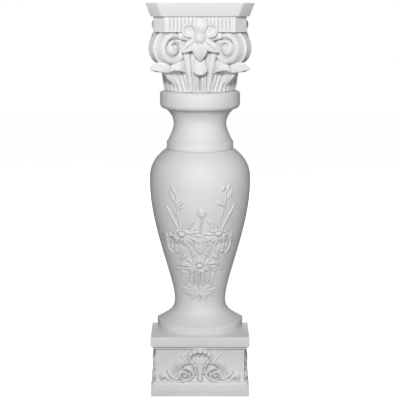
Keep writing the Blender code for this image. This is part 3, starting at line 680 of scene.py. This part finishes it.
SCROLL_RIDGES = (
    # (across, height, width) points, then rise, flutes and their depth
    # the arched leaf over the scroll, with its curled end
    (((19, 89, 10), (32, 92, 16), (46, 89, 20), (57, 79, 20), (63, 68, 14), (66, 58, 7)), 11.0, 3, 3.2),
    # the small tip leaf above it
    (((34, 94, 9), (41, 101, 9), (46, 107, 4)), 9.0, 1, 1.0),
    (((29, 96, 7), (33, 103, 6), (35, 107, 3)), 8.0, 0, 0.0),
    # the rolled inner leaf under the arch
    (((18, 60, 7), (22, 68, 12), (29, 74, 15), (38, 75, 10), (43, 71, 4)), 11.5, 0, 0.0),
    # the border band that flares from the shell's foot and sweeps under the scroll
    (((13, 84, 5), (12, 72, 6), (15, 58, 7), (25, 45, 8), (40, 39, 7), (56, 38, 6)), 10.0, 1, 1.2),
    # lobes outside the scroll
    (((60, 62, 6), (66, 52, 10), (62, 42, 9)), 8.5, 2, 1.4),
    (((56, 44, 5), (70, 50, 11), (79, 60, 12), (83, 68, 7)), 10.0, 2, 1.6),
    (((62, 40, 5), (78, 44, 11), (90, 54, 14), (98, 52, 13), (99, 44, 9)), 11.0, 2, 1.6),
    (((60, 38, 4), (74, 39, 8), (86, 40, 9)), 8.0, 1, 1.2),
)
# (height, half width) of the shell's fan, then (across, height, width) of its rolled border
SHELL_HALF_WIDTHS = ((44, 9.0), (52, 7.5), (62, 8.0), (72, 9.5), (86, 15.0), (98, 21.0), (108, 26.0))
SHELL_BORDER = (
    (9, 60, 3.5),
    (11, 72, 4.0),
    (17, 84, 4.5),
    (24, 94, 5.0),
    (29, 104, 6.0),
    (27, 113, 6.0),
    (20, 120, 5.0),
)
SHELL_HOLES = (
    # under the lip, from the middle outwards, and beside the foot
    ((0, 105), 3.4, 7.0),
    ((12, 105.5), 3.2, 6.5),
    ((20.5, 101), 2.6, 6.0),
    ((10.5, 49), 3.4, 9.0),
)
SHELL_LOBES = (
    # centre, radius and rise
    ((0, 121), 9.0, 16.0),
    ((13.5, 119), 8.0, 15.0),
    ((24, 112), 7.5, 14.0),
    ((28, 102), 6.0, 12.0),
)


def ornament_relief(x, z):
    """The shell between its two scrolls, at x from the middle and z above the floor."""
    relief = np.zeros(x.shape)
    side = np.abs(x)
    for points, height, flutes, depth in SCROLL_RIDGES:
        ridge(relief, side, z, points, height, flutes, depth, rounding=0.5)
    # the scroll itself, one and a half turns in to its eye
    coil = []
    for i in range(31):
        share = i / 30
        turn = math.radians(165.0) + math.tau * 1.55 * share
        radius = 14.5 * (1.0 - 0.80 * share)
        coil.append((40.5 + radius * math.cos(turn), 55.5 + radius * math.sin(turn), 7.6 - 2.6 * share))
    ridge(relief, side, z, coil, 11.5, steps=1, rounding=0.5)
    knob(relief, side, z, (40.5, 55.5), 4.2, 12.0)
    # the shell: a fan of ribs narrowing to its stem, then a small flared foot
    fan = curve_through(SHELL_HALF_WIDTHS, 8)
    half = np.interp(z, fan[:, 0], fan[:, 1])
    across = np.clip(side / half, 0.0, 1.0)
    on_fan = (z > 44.0) & (z < 110.0) & (side < half)
    ribs = 0.5 + 0.5 * np.cos(x / half * math.pi * 6.0)
    swell = 11.0 * np.power(np.maximum(0.0, 1.0 - across**2), 0.5)
    flute = 2.2 * smooth_step(58.0, 80.0, z) * (1.0 - ribs)
    sunk = 4.0 * smooth_step(88.0, 104.0, z)
    fan_rise = np.where(on_fan, swell - flute - sunk, 0.0)
    np.maximum(relief, fan_rise, out=relief)
    ridge(relief, side, z, SHELL_BORDER, 12.5, rounding=0.5)
    for centre, radius, height in SHELL_LOBES:
        knob(relief, side, z, centre, radius, height, 1.05)
    knob(relief, side, z, (0.0, 47.0), 8.0, 12.0, 1.3)
    for spot, radius, depth in SHELL_HOLES:
        away = np.hypot((side - spot[0]) / radius, (z - spot[1]) / (0.8 * radius))
        relief -= depth * np.exp(-(away**2)) * (relief > 0.0)
    return np.maximum(relief, 0.0)


def ornament_panel(name, side, high):
    """The carved panel on one face of the die: side is 0 for the front, -1 and 1 for the sides."""
    die = PLINTH_HALF - DIE_INSET
    low = -PANEL_REACH
    base, top = LOWER_SLAB + FILLET - 1.0, LOWER_SLAB + DIE - 1.5
    columns = int((high - low) / PANEL_STEP) + 1
    rows = int((top - base) / PANEL_STEP) + 1
    deselect()
    bpy.ops.mesh.primitive_grid_add(x_subdivisions=columns - 1, y_subdivisions=rows - 1, size=1.0)
    panel = bpy.context.object
    panel.name = name
    panel.data.name = name
    x, z = np.meshgrid(np.linspace(low, high, columns), np.linspace(base, top, rows))
    relief = evened(ornament_relief(x, z), 2)
    # where nothing is carved, the panel lies just inside the die
    out = np.where(relief > 0.05, die + relief, die - PANEL_SINK)
    place = np.empty(x.shape + (3,))
    if side == 0:
        place[..., 0], place[..., 1] = x, -out
    else:
        place[..., 0], place[..., 1] = side * out, x
    place[..., 2] = z
    place *= MM
    place[..., 1] += WALL
    panel.data.vertices.foreach_set("co", place.ravel())
    panel.data.update()
    bpy.ops.object.mode_set(mode="EDIT")
    bpy.ops.mesh.select_all(action="SELECT")
    bpy.ops.mesh.extrude_region_move(TRANSFORM_OT_translate={"value": (0.0, 0.0, 0.0)})
    bpy.ops.object.mode_set(mode="OBJECT")
    # the first points become the flat back, and their copies keep the carving
    count = rows * columns
    coords = np.empty(len(panel.data.vertices) * 3)
    panel.data.vertices.foreach_get("co", coords)
    coords = coords.reshape(-1, 3)
    if side == 0:
        coords[:count, 1] = WALL - (die - PANEL_BACK) * MM
    else:
        coords[:count, 0] = side * (die - PANEL_BACK) * MM
    panel.data.vertices.foreach_set("co", coords.ravel())
    panel.data.update()
    bpy.ops.object.mode_set(mode="EDIT")
    bpy.ops.mesh.select_all(action="SELECT")
    bpy.ops.mesh.normals_make_consistent(inside=False)
    bpy.ops.object.mode_set(mode="OBJECT")
    return panel


# The capital. Points are millimetres about the axis, with -Y to the front, and levels above its foot.


def at(turn, radius, level):
    """The point at a turn from the front, in degrees towards the right."""
    angle = math.radians(turn)
    return (radius * math.sin(angle), -radius * math.cos(angle), CAPITAL_FOOT + level)


def before(turn, across, depth, level):
    """The point at a depth before the axis and a place across, for someone who faces that turn."""
    facing = math.radians(turn)
    x = across * math.cos(facing) + depth * math.sin(facing)
    y = across * math.sin(facing) - depth * math.cos(facing)
    return (x, y, CAPITAL_FOOT + level)


def bell():
    """The core of the capital, with a slit behind the foot of each middle leaf."""

    def slit(turn, level):
        off = (turn + 45.0) % 90.0 - 45.0
        run = smooth_step(1.0, 5.0, level) * smooth_step(54.0, 44.0, level)
        return 9.0 * float(run) * math.exp(-((off / 1.5) ** 2))

    rings = [[at(0, 0.0, 0.3)]]
    for level in (0.3, 1.5, 3.0, 5.0, 12.0, 20.0, 32.0, 44.0, 49.0, 54.0, 80.0, 110.0, 140.0, 158.0):
        radius = BELL_RADIUS + 14.0 * (level / 150.0) ** 1.6
        rings.append([at(turn, radius - slit(turn, level), level) for turn in range(360)])
    rings.append([at(0, 0.0, 158.0)])
    return loft("bell", rings)


def bell_leaf(name, middle, columns, spreads, reach_at, lip_at, rib_at, web_at, crest, under):
    """A leaf over upright sections: up the bell, out under the lip, over it and back to the crest.

    Across the leaf, from -1 to 1, reach_at and lip_at give the lip's radius and level, rib_at the
    carving's height and web_at how far the underside fills out towards the lip.
    """
    rings = []
    for i in range(columns + 1):
        across = -1.0 + 2.0 * i / columns
        reach = reach_at(across)
        low = lip_at(across)
        lean = reach - BELL_RADIUS
        web = web_at(across)
        marks = (
            (BELL_RADIUS + 2.5, 1.0, 0.0),
            (BELL_RADIUS + 4.5, 14.0, 0.15),
            (BELL_RADIUS + 5.0 + (0.10 + 0.20 * web) * lean, 0.62 * low, 0.45),
            (BELL_RADIUS + 4.0 + (0.36 - under + 0.22 * web) * lean, low - 5.0 + 6.0 * under, 0.8),
            (BELL_RADIUS + 2.0 + (0.78 - under) * lean, low + 0.5 + 8.0 * under, 0.97),
            (reach - 2.2, low - 0.4, 1.0),
            (reach, low + 2.4, 1.0),
            (reach - 2.0, low + 6.0, 1.0),
            (BELL_RADIUS + 0.72 * lean, 0.5 * (low + crest) + 7.0, 1.4),
            (BELL_RADIUS + 0.40 * lean, crest + 2.0, 1.8),
            (BELL_RADIUS, crest + 5.0, 2.0),
        )
        line = curve_through(marks, 4)
        outer = []
        inner = []
        for radius, level, share in line:
            spread = float(np.interp(share, (0.0, 1.0, 2.0), spreads))
            rib = rib_at(across, min(1.0, max(0.0, level / low)))
            fade = smooth_step(0.0, 0.12, level / low) * smooth_step(1.06, 0.86, level / low)
            turn = middle + across * spread
            outer.append(at(turn, radius + rib * float(fade), level))
            inner.append(at(turn, BELL_RADIUS - 16.0, level))
        rings.append(outer + inner[::-1])
    return loft(name, rings, ribbon_ends=True)


def face_leaf(middle):
    """The middle leaf of a side, whose tip hangs over the slit in its foot."""

    def reach_at(across):
        return 117.0 - 9.0 * across * across

    def lip_at(across):
        return 45.0 + 9.0 * abs(across) ** 2.2

    def rib_at(across, share):
        midrib = -15.0 * math.exp(-((across / 0.14) ** 2))
        return midrib - 3.6 * (0.5 - 0.5 * math.cos(across * math.pi * 5.0))

    def web_at(across):
        return 0.0

    spreads = (11.0, 9.8, 5.0)
    return bell_leaf("face_leaf", middle, 72, spreads, reach_at, lip_at, rib_at, web_at, 84.0, 0.18)


# the lower edge of a corner leaf: degrees off its middle and level, from the tongue to the outer leg
ARCH_TURNS = (0.0, 3.5, 7.0, 10.0, 15.0, 20.0, 23.0, 25.0, 27.0)
ARCH_LEVELS = (59.0, 53.5, 49.0, 52.5, 56.0, 55.0, 50.0, 42.0, 30.0)


def corner_leaf(side):
    """The leaf under a scroll: a tongue that points to the corner, and a lobe and a leg beside it."""
    spread = 27.0

    def reach_at(across):
        off = abs(across) * spread
        straight = 104.0 / math.cos(math.radians(45.0 - off))
        lobe = 8.0 * math.sin(math.pi * min(1.0, max(0.0, (off - 8.0) / 18.0))) ** 0.7
        notch = -7.0 * math.exp(-(((off - 7.2) / 1.4) ** 2))
        point = 27.0 * max(0.0, 1.0 - off / 7.5) ** 0.8
        hugging = float(smooth_step(20.5, 25.5, off))
        return (straight + lobe + notch + point) * (1.0 - hugging) + (BELL_RADIUS + 7.0) * hugging

    def lip_at(across):
        return float(np.interp(abs(across) * spread, ARCH_TURNS, ARCH_LEVELS))

    def rib_at(across, share):
        fan = abs(across) * (1.0 + 0.9 * share)
        hollow = -8.0 * math.exp(-(((abs(across) - 0.62) / 0.22) ** 2)) * share**1.2
        rim = float(smooth_step(1.0, 0.93, abs(across)))
        return (hollow - 4.6 * (0.5 - 0.5 * math.cos(fan * math.pi * 5.0))) * rim

    def web_at(across):
        return float(smooth_step(8.5, 2.0, abs(across) * spread))

    middle, spreads = 45.0 * side, (25.6, spread, 25.0)
    return bell_leaf("corner_leaf", middle, 140, spreads, reach_at, lip_at, rib_at, web_at, 78.0, 0.10)


def tube(name, points, section=10, flat=1.0):
    """A rod through (x, y, z, radius) points, round or flattened towards the bell."""
    line = curve_through(points, 4)
    rings = []
    for i, row in enumerate(line):
        middle, radius = Vector(row[:3]), row[3]
        along = Vector(line[min(i + 1, len(line) - 1)][:3]) - Vector(line[max(i - 1, 0)][:3])
        along.normalize()
        out = Vector((row[0], row[1], 0.0))
        across = along.cross(out).normalized()
        out = across.cross(along).normalized()
        ring = []
        for k in range(section):
            turn = math.tau * k / section
            spot = middle + across * (radius * math.cos(turn)) + out * (radius * flat * math.sin(turn))
            ring.append(tuple(spot))
        rings.append(ring)
    return loft(name, rings)


def stem_strips(turn):
    """The two strap-like stems beside the middle leaf of a side."""
    pieces = []
    for side in (-1.0, 1.0):
        marks = []
        for level, off, radius in ((1, 13.4, 3.4), (30, 14.8, 4.8), (62, 16.6, 7.0), (100, 19.0, 9.0)):
            stand = BELL_RADIUS + 5.0 + 11.0 * level / 98.0
            marks.append(at(turn + side * off, stand, level) + (radius,))
        pieces.append(tube("stem", marks, 14, 0.62))
    return pieces


# (degrees, radius) of the groove on a scroll's face, from beside the flower in to the eye
GROOVE = (
    (55, 25.5),
    (90, 22.5),
    (180, 21.0),
    (270, 20.5),
    (330, 18.0),
    (390, 14.5),
    (450, 10.0),
    (500, 7.5),
)
# how far the scroll's edge stands out along the way from one face to the other
BETWEEN_FACES = (
    (0.04, -0.4),
    (0.14, 0.4),
    (0.26, 0.8),
    (0.38, 2.0),
    (0.46, 5.5),
    (0.5, 8.0),
    (0.54, 5.5),
    (0.62, 2.0),
    (0.74, 0.8),
    (0.86, 0.4),
    (0.96, -0.4),
)


def volute(side):
    """A corner scroll: a spiral face to the front and one to the flank, and two bands between."""
    tilt = math.radians(35.0)
    cosine, sine = math.cos(tilt), math.sin(tilt)
    # each face's middle, the way across it and the way out of it
    front = ((side * 63.6, -103.5), (side * cosine, -sine), (-side * sine, -cosine))
    flank = ((side * 103.5, -63.6), (side * sine, -cosine), (side * cosine, sine))
    level = CAPITAL_FOOT + VOLUTE_LEVEL
    count = 96
    groove = curve_through(GROOVE, 12)

    def face_lift(r, degrees):
        """The relief on the spiral face: its turn is measured from the flower's side."""
        band = smooth_step(24.0, 27.0, r) * smooth_step(38.0, 35.0, r)
        lift = 4.5 * smooth_step(38.5, 33.0, r) * smooth_step(19.0, 25.0, r)
        lift += 0.9 * math.cos((r - 25.0) / 5.2 * math.tau) * band
        lift += 6.0 * math.exp(-(((r - 4.0) / 11.0) ** 2))
        for wrap in (0, 360):
            here = degrees + wrap
            if groove[0][0] <= here <= groove[-1][0]:
                where = np.interp(here, groove[:, 0], groove[:, 1])
                lift -= 10.5 * math.exp(-(((r - where) / 2.9) ** 2))
        return float(lift)

    rings = []
    for place, across, out in (front, flank):
        face = []
        for r in list(np.linspace(0.8, VOLUTE_RADIUS - 2.0, 38)) + [37.2, VOLUTE_RADIUS]:
            ring = []
            for i in range(count):
                turn = math.tau * i / count
                # the groove starts near the flower, at the top inner side, and runs outwards and down
                degrees = math.degrees(math.atan2(math.sin(turn), -math.cos(turn))) % 360.0
                lift = face_lift(r, degrees) if r < 37.5 else 0.0
                spot_x = place[0] + across[0] * r * math.cos(turn) + out[0] * lift
                spot_y = place[1] + across[1] * r * math.cos(turn) + out[1] * lift
                ring.append((spot_x, spot_y, level + r * math.sin(turn)))
            face.append(ring)
        rings.append(face)
    front_rings, flank_rings = rings
    middle = []
    start, end = front_rings[-1], flank_rings[-1]
    diagonal = (side * math.sqrt(0.5), -math.sqrt(0.5))
    for share, lift in BETWEEN_FACES:
        ring = []
        for i in range(count):
            turn = math.tau * i / count
            a, b = start[i], end[i]
            x = a[0] + (b[0] - a[0]) * share + diagonal[0] * lift * max(-0.2, math.cos(turn))
            y = a[1] + (b[1] - a[1]) * share + diagonal[1] * lift * max(-0.2, math.cos(turn))
            z = a[2] + lift * 0.6 * math.sin(turn)
            ring.append((x, y, z))
        middle.append(ring)
    return loft("volute", front_rings + middle + flank_rings[::-1])


ROUND, POINTED = "round", "pointed"
FLOWER_PETALS = (
    # direction, start, length, width, cup, lift, tip, fold and rim
    (90.0, 12.0, 39.0, 36.0, 3.5, 10.0, ROUND, 1.0, 2.0),
    (35.0, 13.0, 38.0, 36.0, 2.0, 6.0, ROUND, -2.5, 5.5),
    (145.0, 13.0, 38.0, 36.0, 2.0, 6.0, ROUND, -2.5, 5.5),
    (-37.0, 8.0, 50.0, 26.0, -3.0, 11.0, POINTED, -5.5, 0.0),
    (-143.0, 8.0, 50.0, 26.0, -3.0, 11.0, POINTED, -5.5, 0.0),
    (-90.0, 6.0, 50.0, 36.0, -6.0, 12.0, POINTED, 3.5, 0.0),
    (62.0, 16.0, 34.0, 14.0, 1.0, -2.0, POINTED, -2.0, 0.0),
    (118.0, 16.0, 34.0, 14.0, 1.0, -2.0, POINTED, -2.0, 0.0),
)
FLOWER_DEPTH = 108.0
PETAL_THICKNESS = 7.0
STAMEN_DEPTH = 1.6


def petal(turn, angle, start, length, width, cup, lift, tip, fold, rim):
    """A petal that stands off the bell: cupped across, with a rolled rim and a sunk or raised fold."""
    away = math.radians(angle)
    along = (math.cos(away), math.sin(away))
    across = (-along[1], along[0])
    rings = []
    steps = 16
    rows = 14
    for i in range(rows + 1):
        t = i / rows
        if tip == ROUND:
            grow = math.sin(math.pi * (0.16 + 0.62 * t))
            grow *= math.sqrt(max(0.0, 1.0 - max(0.0, (t - 0.62) / 0.385) ** 2))
        else:
            grow = math.sin(math.pi * (0.14 + 0.84 * t)) ** 0.85
        half = max(0.5 * width * grow, 0.7)
        top = []
        low = []
        for k in range(steps + 1):
            s = -1.0 + 2.0 * k / steps
            forward = lift * math.sin(math.pi * min(1.0, 0.12 + 0.75 * t))
            forward += cup * s * s * math.sin(math.pi * min(1.0, 0.1 + 0.8 * t))
            forward += fold * math.exp(-((s / 0.16) ** 2)) * math.sin(math.pi * t)
            edge = math.hypot(s, max(0.0, t - 0.5) / 0.5)
            forward += rim * math.exp(-(((edge - 0.84) / 0.16) ** 2)) * min(1.0, 3.0 * t)
            if rim:
                forward += STAMEN_DEPTH * math.cos(s * math.pi * 5.0) * math.exp(-((t / 0.3) ** 2))
            reach = start + length * t
            x = along[0] * reach + across[0] * s * half
            z = along[1] * reach + across[1] * s * half
            top.append(before(turn, x, FLOWER_DEPTH + forward, FLOWER_LEVEL + z))
            low.append(before(turn, x, FLOWER_DEPTH + forward - PETAL_THICKNESS, FLOWER_LEVEL + z))
        rings.append(top + low[::-1])
    return loft("petal", rings, ribbon_ends=True)


def flower(turn):
    """The lily-like flower of one side: its petals, its boss and the roots of the scrolls behind."""
    pieces = [petal(turn, *shape) for shape in FLOWER_PETALS]
    rings = []
    count = 24
    for degrees in range(0, 121, 12):
        bend = math.radians(degrees)
        ring = []
        for i in range(1 if degrees == 0 else count):
            around = math.tau * i / count
            x = 14.0 * math.sin(bend) * math.cos(around)
            z = 14.0 * math.sin(bend) * math.sin(around)
            ring.append(before(turn, x, FLOWER_DEPTH + 3.0 + 13.0 * math.cos(bend), FLOWER_LEVEL + z))
        rings.append(ring)
    pieces.append(loft("boss", rings))
    for side in (-1.0, 1.0):
        marks = []
        for across, depth, level, radius in ((14, 98, 133, 10), (34, 101, 138, 10), (54, 103, 141, 7)):
            marks.append(before(turn, side * across, depth, level) + (radius,))
        pieces.append(tube("scroll_root", marks, 14, 0.8))
    return pieces


def capital_carving():
    """The bell with its leaves, and the scrolls and flowers over it, as two castings."""
    leaves, scrolls = [bell()], []
    for turn in (0.0, 90.0, -90.0):
        leaves.append(face_leaf(turn))
        leaves += stem_strips(turn)
        scrolls += flower(turn)
    for side in (-1.0, 1.0):
        leaves.append(corner_leaf(side))
        scrolls.append(volute(side))
    castings = []
    for name, pieces, voxel, short in (
        ("capital_leaves", leaves, LEAVES_STEP, LEAVES_SHORT),
        ("capital_scrolls", scrolls, SCROLLS_STEP, SCROLLS_SHORT),
    ):
        casting = joined(name, pieces)
        melted(casting, voxel, CASTING_PASSES)
        cut_at_wall(casting, short)
        castings.append(casting)
    return castings


def plain_depth(along):
    """Nothing stands out on a plain face."""
    return 0.0


def pleat_depth(along):
    """How far the block's face stands out at a share of its half width: plain ends, then pleats."""
    place = abs(along) * (BLOCK_HALF - CORNER_CUT)
    if place > PLEATS_END:
        return 0.0
    fade = float(smooth_step(PLEATS_END, PLEATS_END - 2.5, place))
    wave = 0.5 - 0.5 * math.cos((PLEATS_END - place) / PLEAT_PITCH * math.tau)
    fine = 0.5 - 0.5 * math.cos((PLEATS_END - place) / (0.5 * PLEAT_PITCH) * math.tau + 1.0)
    return fade * (3.0 * wave**0.7 + 0.7 * fine - 1.6)


def cut_cornered(half, steps, depth_at):
    """The plan of a square with cut corners and slightly hollow sides, and what stands out on them."""
    side = []
    for i in range(steps + 1):
        along = -1.0 + 2.0 * i / steps
        out = -half + SIDE_HOLLOW * (1.0 - along * along) - depth_at(along)
        side.append(((half - CORNER_CUT) * along, out))
    plan = []
    for quarter in range(4):
        cosine, sine = math.cos(0.5 * math.pi * quarter), math.sin(0.5 * math.pi * quarter)
        for x, y in side:
            plan.append((x * cosine - y * sine, x * sine + y * cosine))
    return plan


def abacus():
    """The flaring slab with cut corners and slightly hollow sides."""
    foot = CAPITAL_FOOT + BELL_HEIGHT + BLOCK_HEIGHT
    rings = []
    for level, half in ((0.0, ABACUS_LOW_HALF), (ABACUS_HEIGHT, ABACUS_TOP_HALF)):
        rings.append([(x, y, foot + level) for x, y in cut_cornered(half, 24, plain_depth)])
    slab = loft("abacus", rings)
    cut_at_wall(slab)
    soft_edges(slab, 0.9, 25.0)
    return slab


def pleated_block():
    """The block under the abacus, with upright pleats beside the flower on each side."""
    foot = CAPITAL_FOOT + BELL_HEIGHT - 1.0
    top = CAPITAL_FOOT + BELL_HEIGHT + BLOCK_HEIGHT + 1.0
    outline = cut_cornered(BLOCK_HALF, 150, pleat_depth)
    rings = [[(x, y, z) for x, y in outline] for z in (foot, foot + 12.0, foot + 25.0, top)]
    block = loft("pleated_block", rings)
    cut_at_wall(block, BLOCK_SHORT)
    return block


def shader_node(tree, kind, settings):
    """A shader node with the values of its inputs."""
    node = tree.nodes.new(kind)
    for name, value in settings.items():
        node.inputs[name].default_value = value
    return node


def primed_finish():
    """Matte white factory primer: faint mottling, a fine grain, and painted shade that greys the hollows.
    """
    material = bpy.data.materials.new("primed_white")
    material.use_nodes = True
    tree = material.node_tree
    links = tree.links
    shader = tree.nodes["Principled BSDF"]
    shader.inputs["Specular IOR Level"].default_value = 0.35
    where = shader_node(tree, "ShaderNodeTexCoord", {})
    mottle = shader_node(tree, "ShaderNodeTexNoise", {"Scale": 9.0, "Detail": 5.0})
    links.new(where.outputs["Object"], mottle.inputs["Vector"])
    tone = shader_node(tree, "ShaderNodeValToRGB", {})
    for stop, position, white in zip(tone.color_ramp.elements, (0.3, 0.7), (DULL_WHITE, CLEAN_WHITE)):
        stop.position = position
        stop.color = white
    links.new(mottle.outputs["Fac"], tone.inputs["Fac"])
    # painted shade: low pointiness in hollows and creases multiplies the base colour darker, standing in
    # for the shade that falls there
    shape = shader_node(tree, "ShaderNodeNewGeometry", {})
    hollow = shader_node(
        tree, "ShaderNodeMapRange", {"From Min": 0.41, "From Max": 0.495, "To Min": 0.20, "To Max": 1.0}
    )
    links.new(shape.outputs["Pointiness"], hollow.inputs["Value"])
    painted_shade_mix = tree.nodes.new("ShaderNodeMix")
    painted_shade_mix.data_type = "RGBA"
    painted_shade_mix.blend_type = "MULTIPLY"
    painted_shade_mix.inputs["Factor"].default_value = 1.0
    links.new(tone.outputs["Color"], painted_shade_mix.inputs["A"])
    links.new(hollow.outputs["Result"], painted_shade_mix.inputs["B"])
    links.new(painted_shade_mix.outputs["Result"], shader.inputs["Base Color"])
    grain = shader_node(tree, "ShaderNodeTexNoise", {"Scale": 900.0, "Detail": 3.0})
    links.new(where.outputs["Object"], grain.inputs["Vector"])
    bump = shader_node(tree, "ShaderNodeBump", {"Strength": 0.12, "Distance": 0.0004})
    links.new(grain.outputs["Fac"], bump.inputs["Height"])
    links.new(bump.outputs["Normal"], shader.inputs["Normal"])
    sheen = shader_node(tree, "ShaderNodeMapRange", {"To Min": 0.50, "To Max": 0.66})
    links.new(mottle.outputs["Fac"], sheen.inputs["Value"])
    links.new(sheen.outputs["Result"], shader.inputs["Roughness"])
    return material


def dress(piece, node, material, smooth):
    """Smooths and paints a piece, and puts it in the place of its solid."""
    choose(piece)
    bpy.ops.object.shade_smooth_by_angle(angle=math.radians(smooth))
    piece.data.materials.clear()
    piece.data.materials.append(material)
    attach(piece, "root")
    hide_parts(node)


def studio_floor():
    """A pale floor that glows for the camera's own rays alone."""
    deselect()
    bpy.ops.mesh.primitive_plane_add(size=14.0, location=(0.0, 0.0, 0.0))
    floor = bpy.context.object
    floor.name = "floor"
    paint = bpy.data.materials.new("pale_floor")
    paint.use_nodes = True
    tree = paint.node_tree
    coat = tree.nodes["Principled BSDF"]
    coat.inputs["Base Color"].default_value = (0.45, 0.45, 0.45, 1.0)
    coat.inputs["Roughness"].default_value = 0.9
    coat.inputs["Specular IOR Level"].default_value = 0.1
    coat.inputs["Emission Color"].default_value = (FLOOR_GLOW, FLOOR_GLOW, FLOOR_GLOW, 1.0)
    seen = shader_node(tree, "ShaderNodeLightPath", {})
    tree.links.new(seen.outputs["Is Camera Ray"], coat.inputs["Emission Strength"])
    floor.data.materials.append(paint)


def studio_backdrop():
    """A dim, even light from all round, behind a white backdrop that the camera alone sees."""
    world = bpy.data.worlds.new("studio")
    world.use_nodes = True
    tree = world.node_tree
    ambient = tree.nodes["Background"]
    ambient.inputs["Color"].default_value = WHITE
    ambient.inputs["Strength"].default_value = AMBIENT
    backdrop = shader_node(tree, "ShaderNodeBackground", {"Color": WHITE, "Strength": BACKDROP})
    seen = shader_node(tree, "ShaderNodeLightPath", {})
    blend = shader_node(tree, "ShaderNodeMixShader", {})
    tree.links.new(seen.outputs["Is Camera Ray"], blend.inputs["Fac"])
    tree.links.new(ambient.outputs["Background"], blend.inputs[1])
    tree.links.new(backdrop.outputs["Background"], blend.inputs[2])
    tree.links.new(blend.outputs["Shader"], tree.nodes["World Output"].inputs["Surface"])
    bpy.context.scene.world = world


def studio_lamps():
    for name, place, target, power, size, spread in LAMPS:
        lamp = bpy.data.lights.new(name, "AREA")
        lamp.energy = power
        lamp.size = size
        lamp.spread = math.radians(spread)
        light = bpy.data.objects.new(name, lamp)
        light.location = place
        light.rotation_euler = (Vector(target) - Vector(place)).to_track_quat("-Z", "Y").to_euler()
        bpy.context.scene.collection.objects.link(light)


def studio_camera():
    """The camera before the column, tilted to see as far above its top as below its foot."""
    scene = bpy.context.scene
    camera = bpy.data.cameras.new("camera")
    eye = bpy.data.objects.new("camera", camera)
    scene.collection.objects.link(eye)
    camera.sensor_width = SENSOR
    low_angle = math.atan(EYE_HEIGHT / EYE_DISTANCE)
    high_angle = math.atan((EYE_HEIGHT - cad_high.z) / (EYE_DISTANCE + 2.0 * FRONT))
    tilt = 0.5 * (low_angle + high_angle)
    camera.lens = SENSOR * FILLED / 2.0 / math.tan(0.5 * (low_angle - high_angle))
    eye.location = (0.0, -FRONT - EYE_DISTANCE, EYE_HEIGHT)
    eye.rotation_euler = (0.5 * math.pi - tilt, 0.0, 0.0)
    scene.camera = eye
    scene.view_settings.view_transform = "Standard"


primer = primed_finish()
dress(carved_shaft(), "shaft", primer, 40.0)
dress(plain_plinth(), "plinth", primer, 30.0)
dress(ornament_panel("front_ornament", 0, PANEL_REACH), "plinth", primer, 60.0)
dress(ornament_panel("left_ornament", -1, -PANELS_SHORT), "plinth", primer, 60.0)
dress(ornament_panel("right_ornament", 1, -PANELS_SHORT), "plinth", primer, 60.0)
dress(abacus(), "capital", primer, 30.0)
dress(pleated_block(), "capital", primer, 50.0)
for casting in capital_carving():
    dress(casting, "capital", primer, 60.0)
studio_floor()
studio_backdrop()
studio_lamps()
studio_camera()
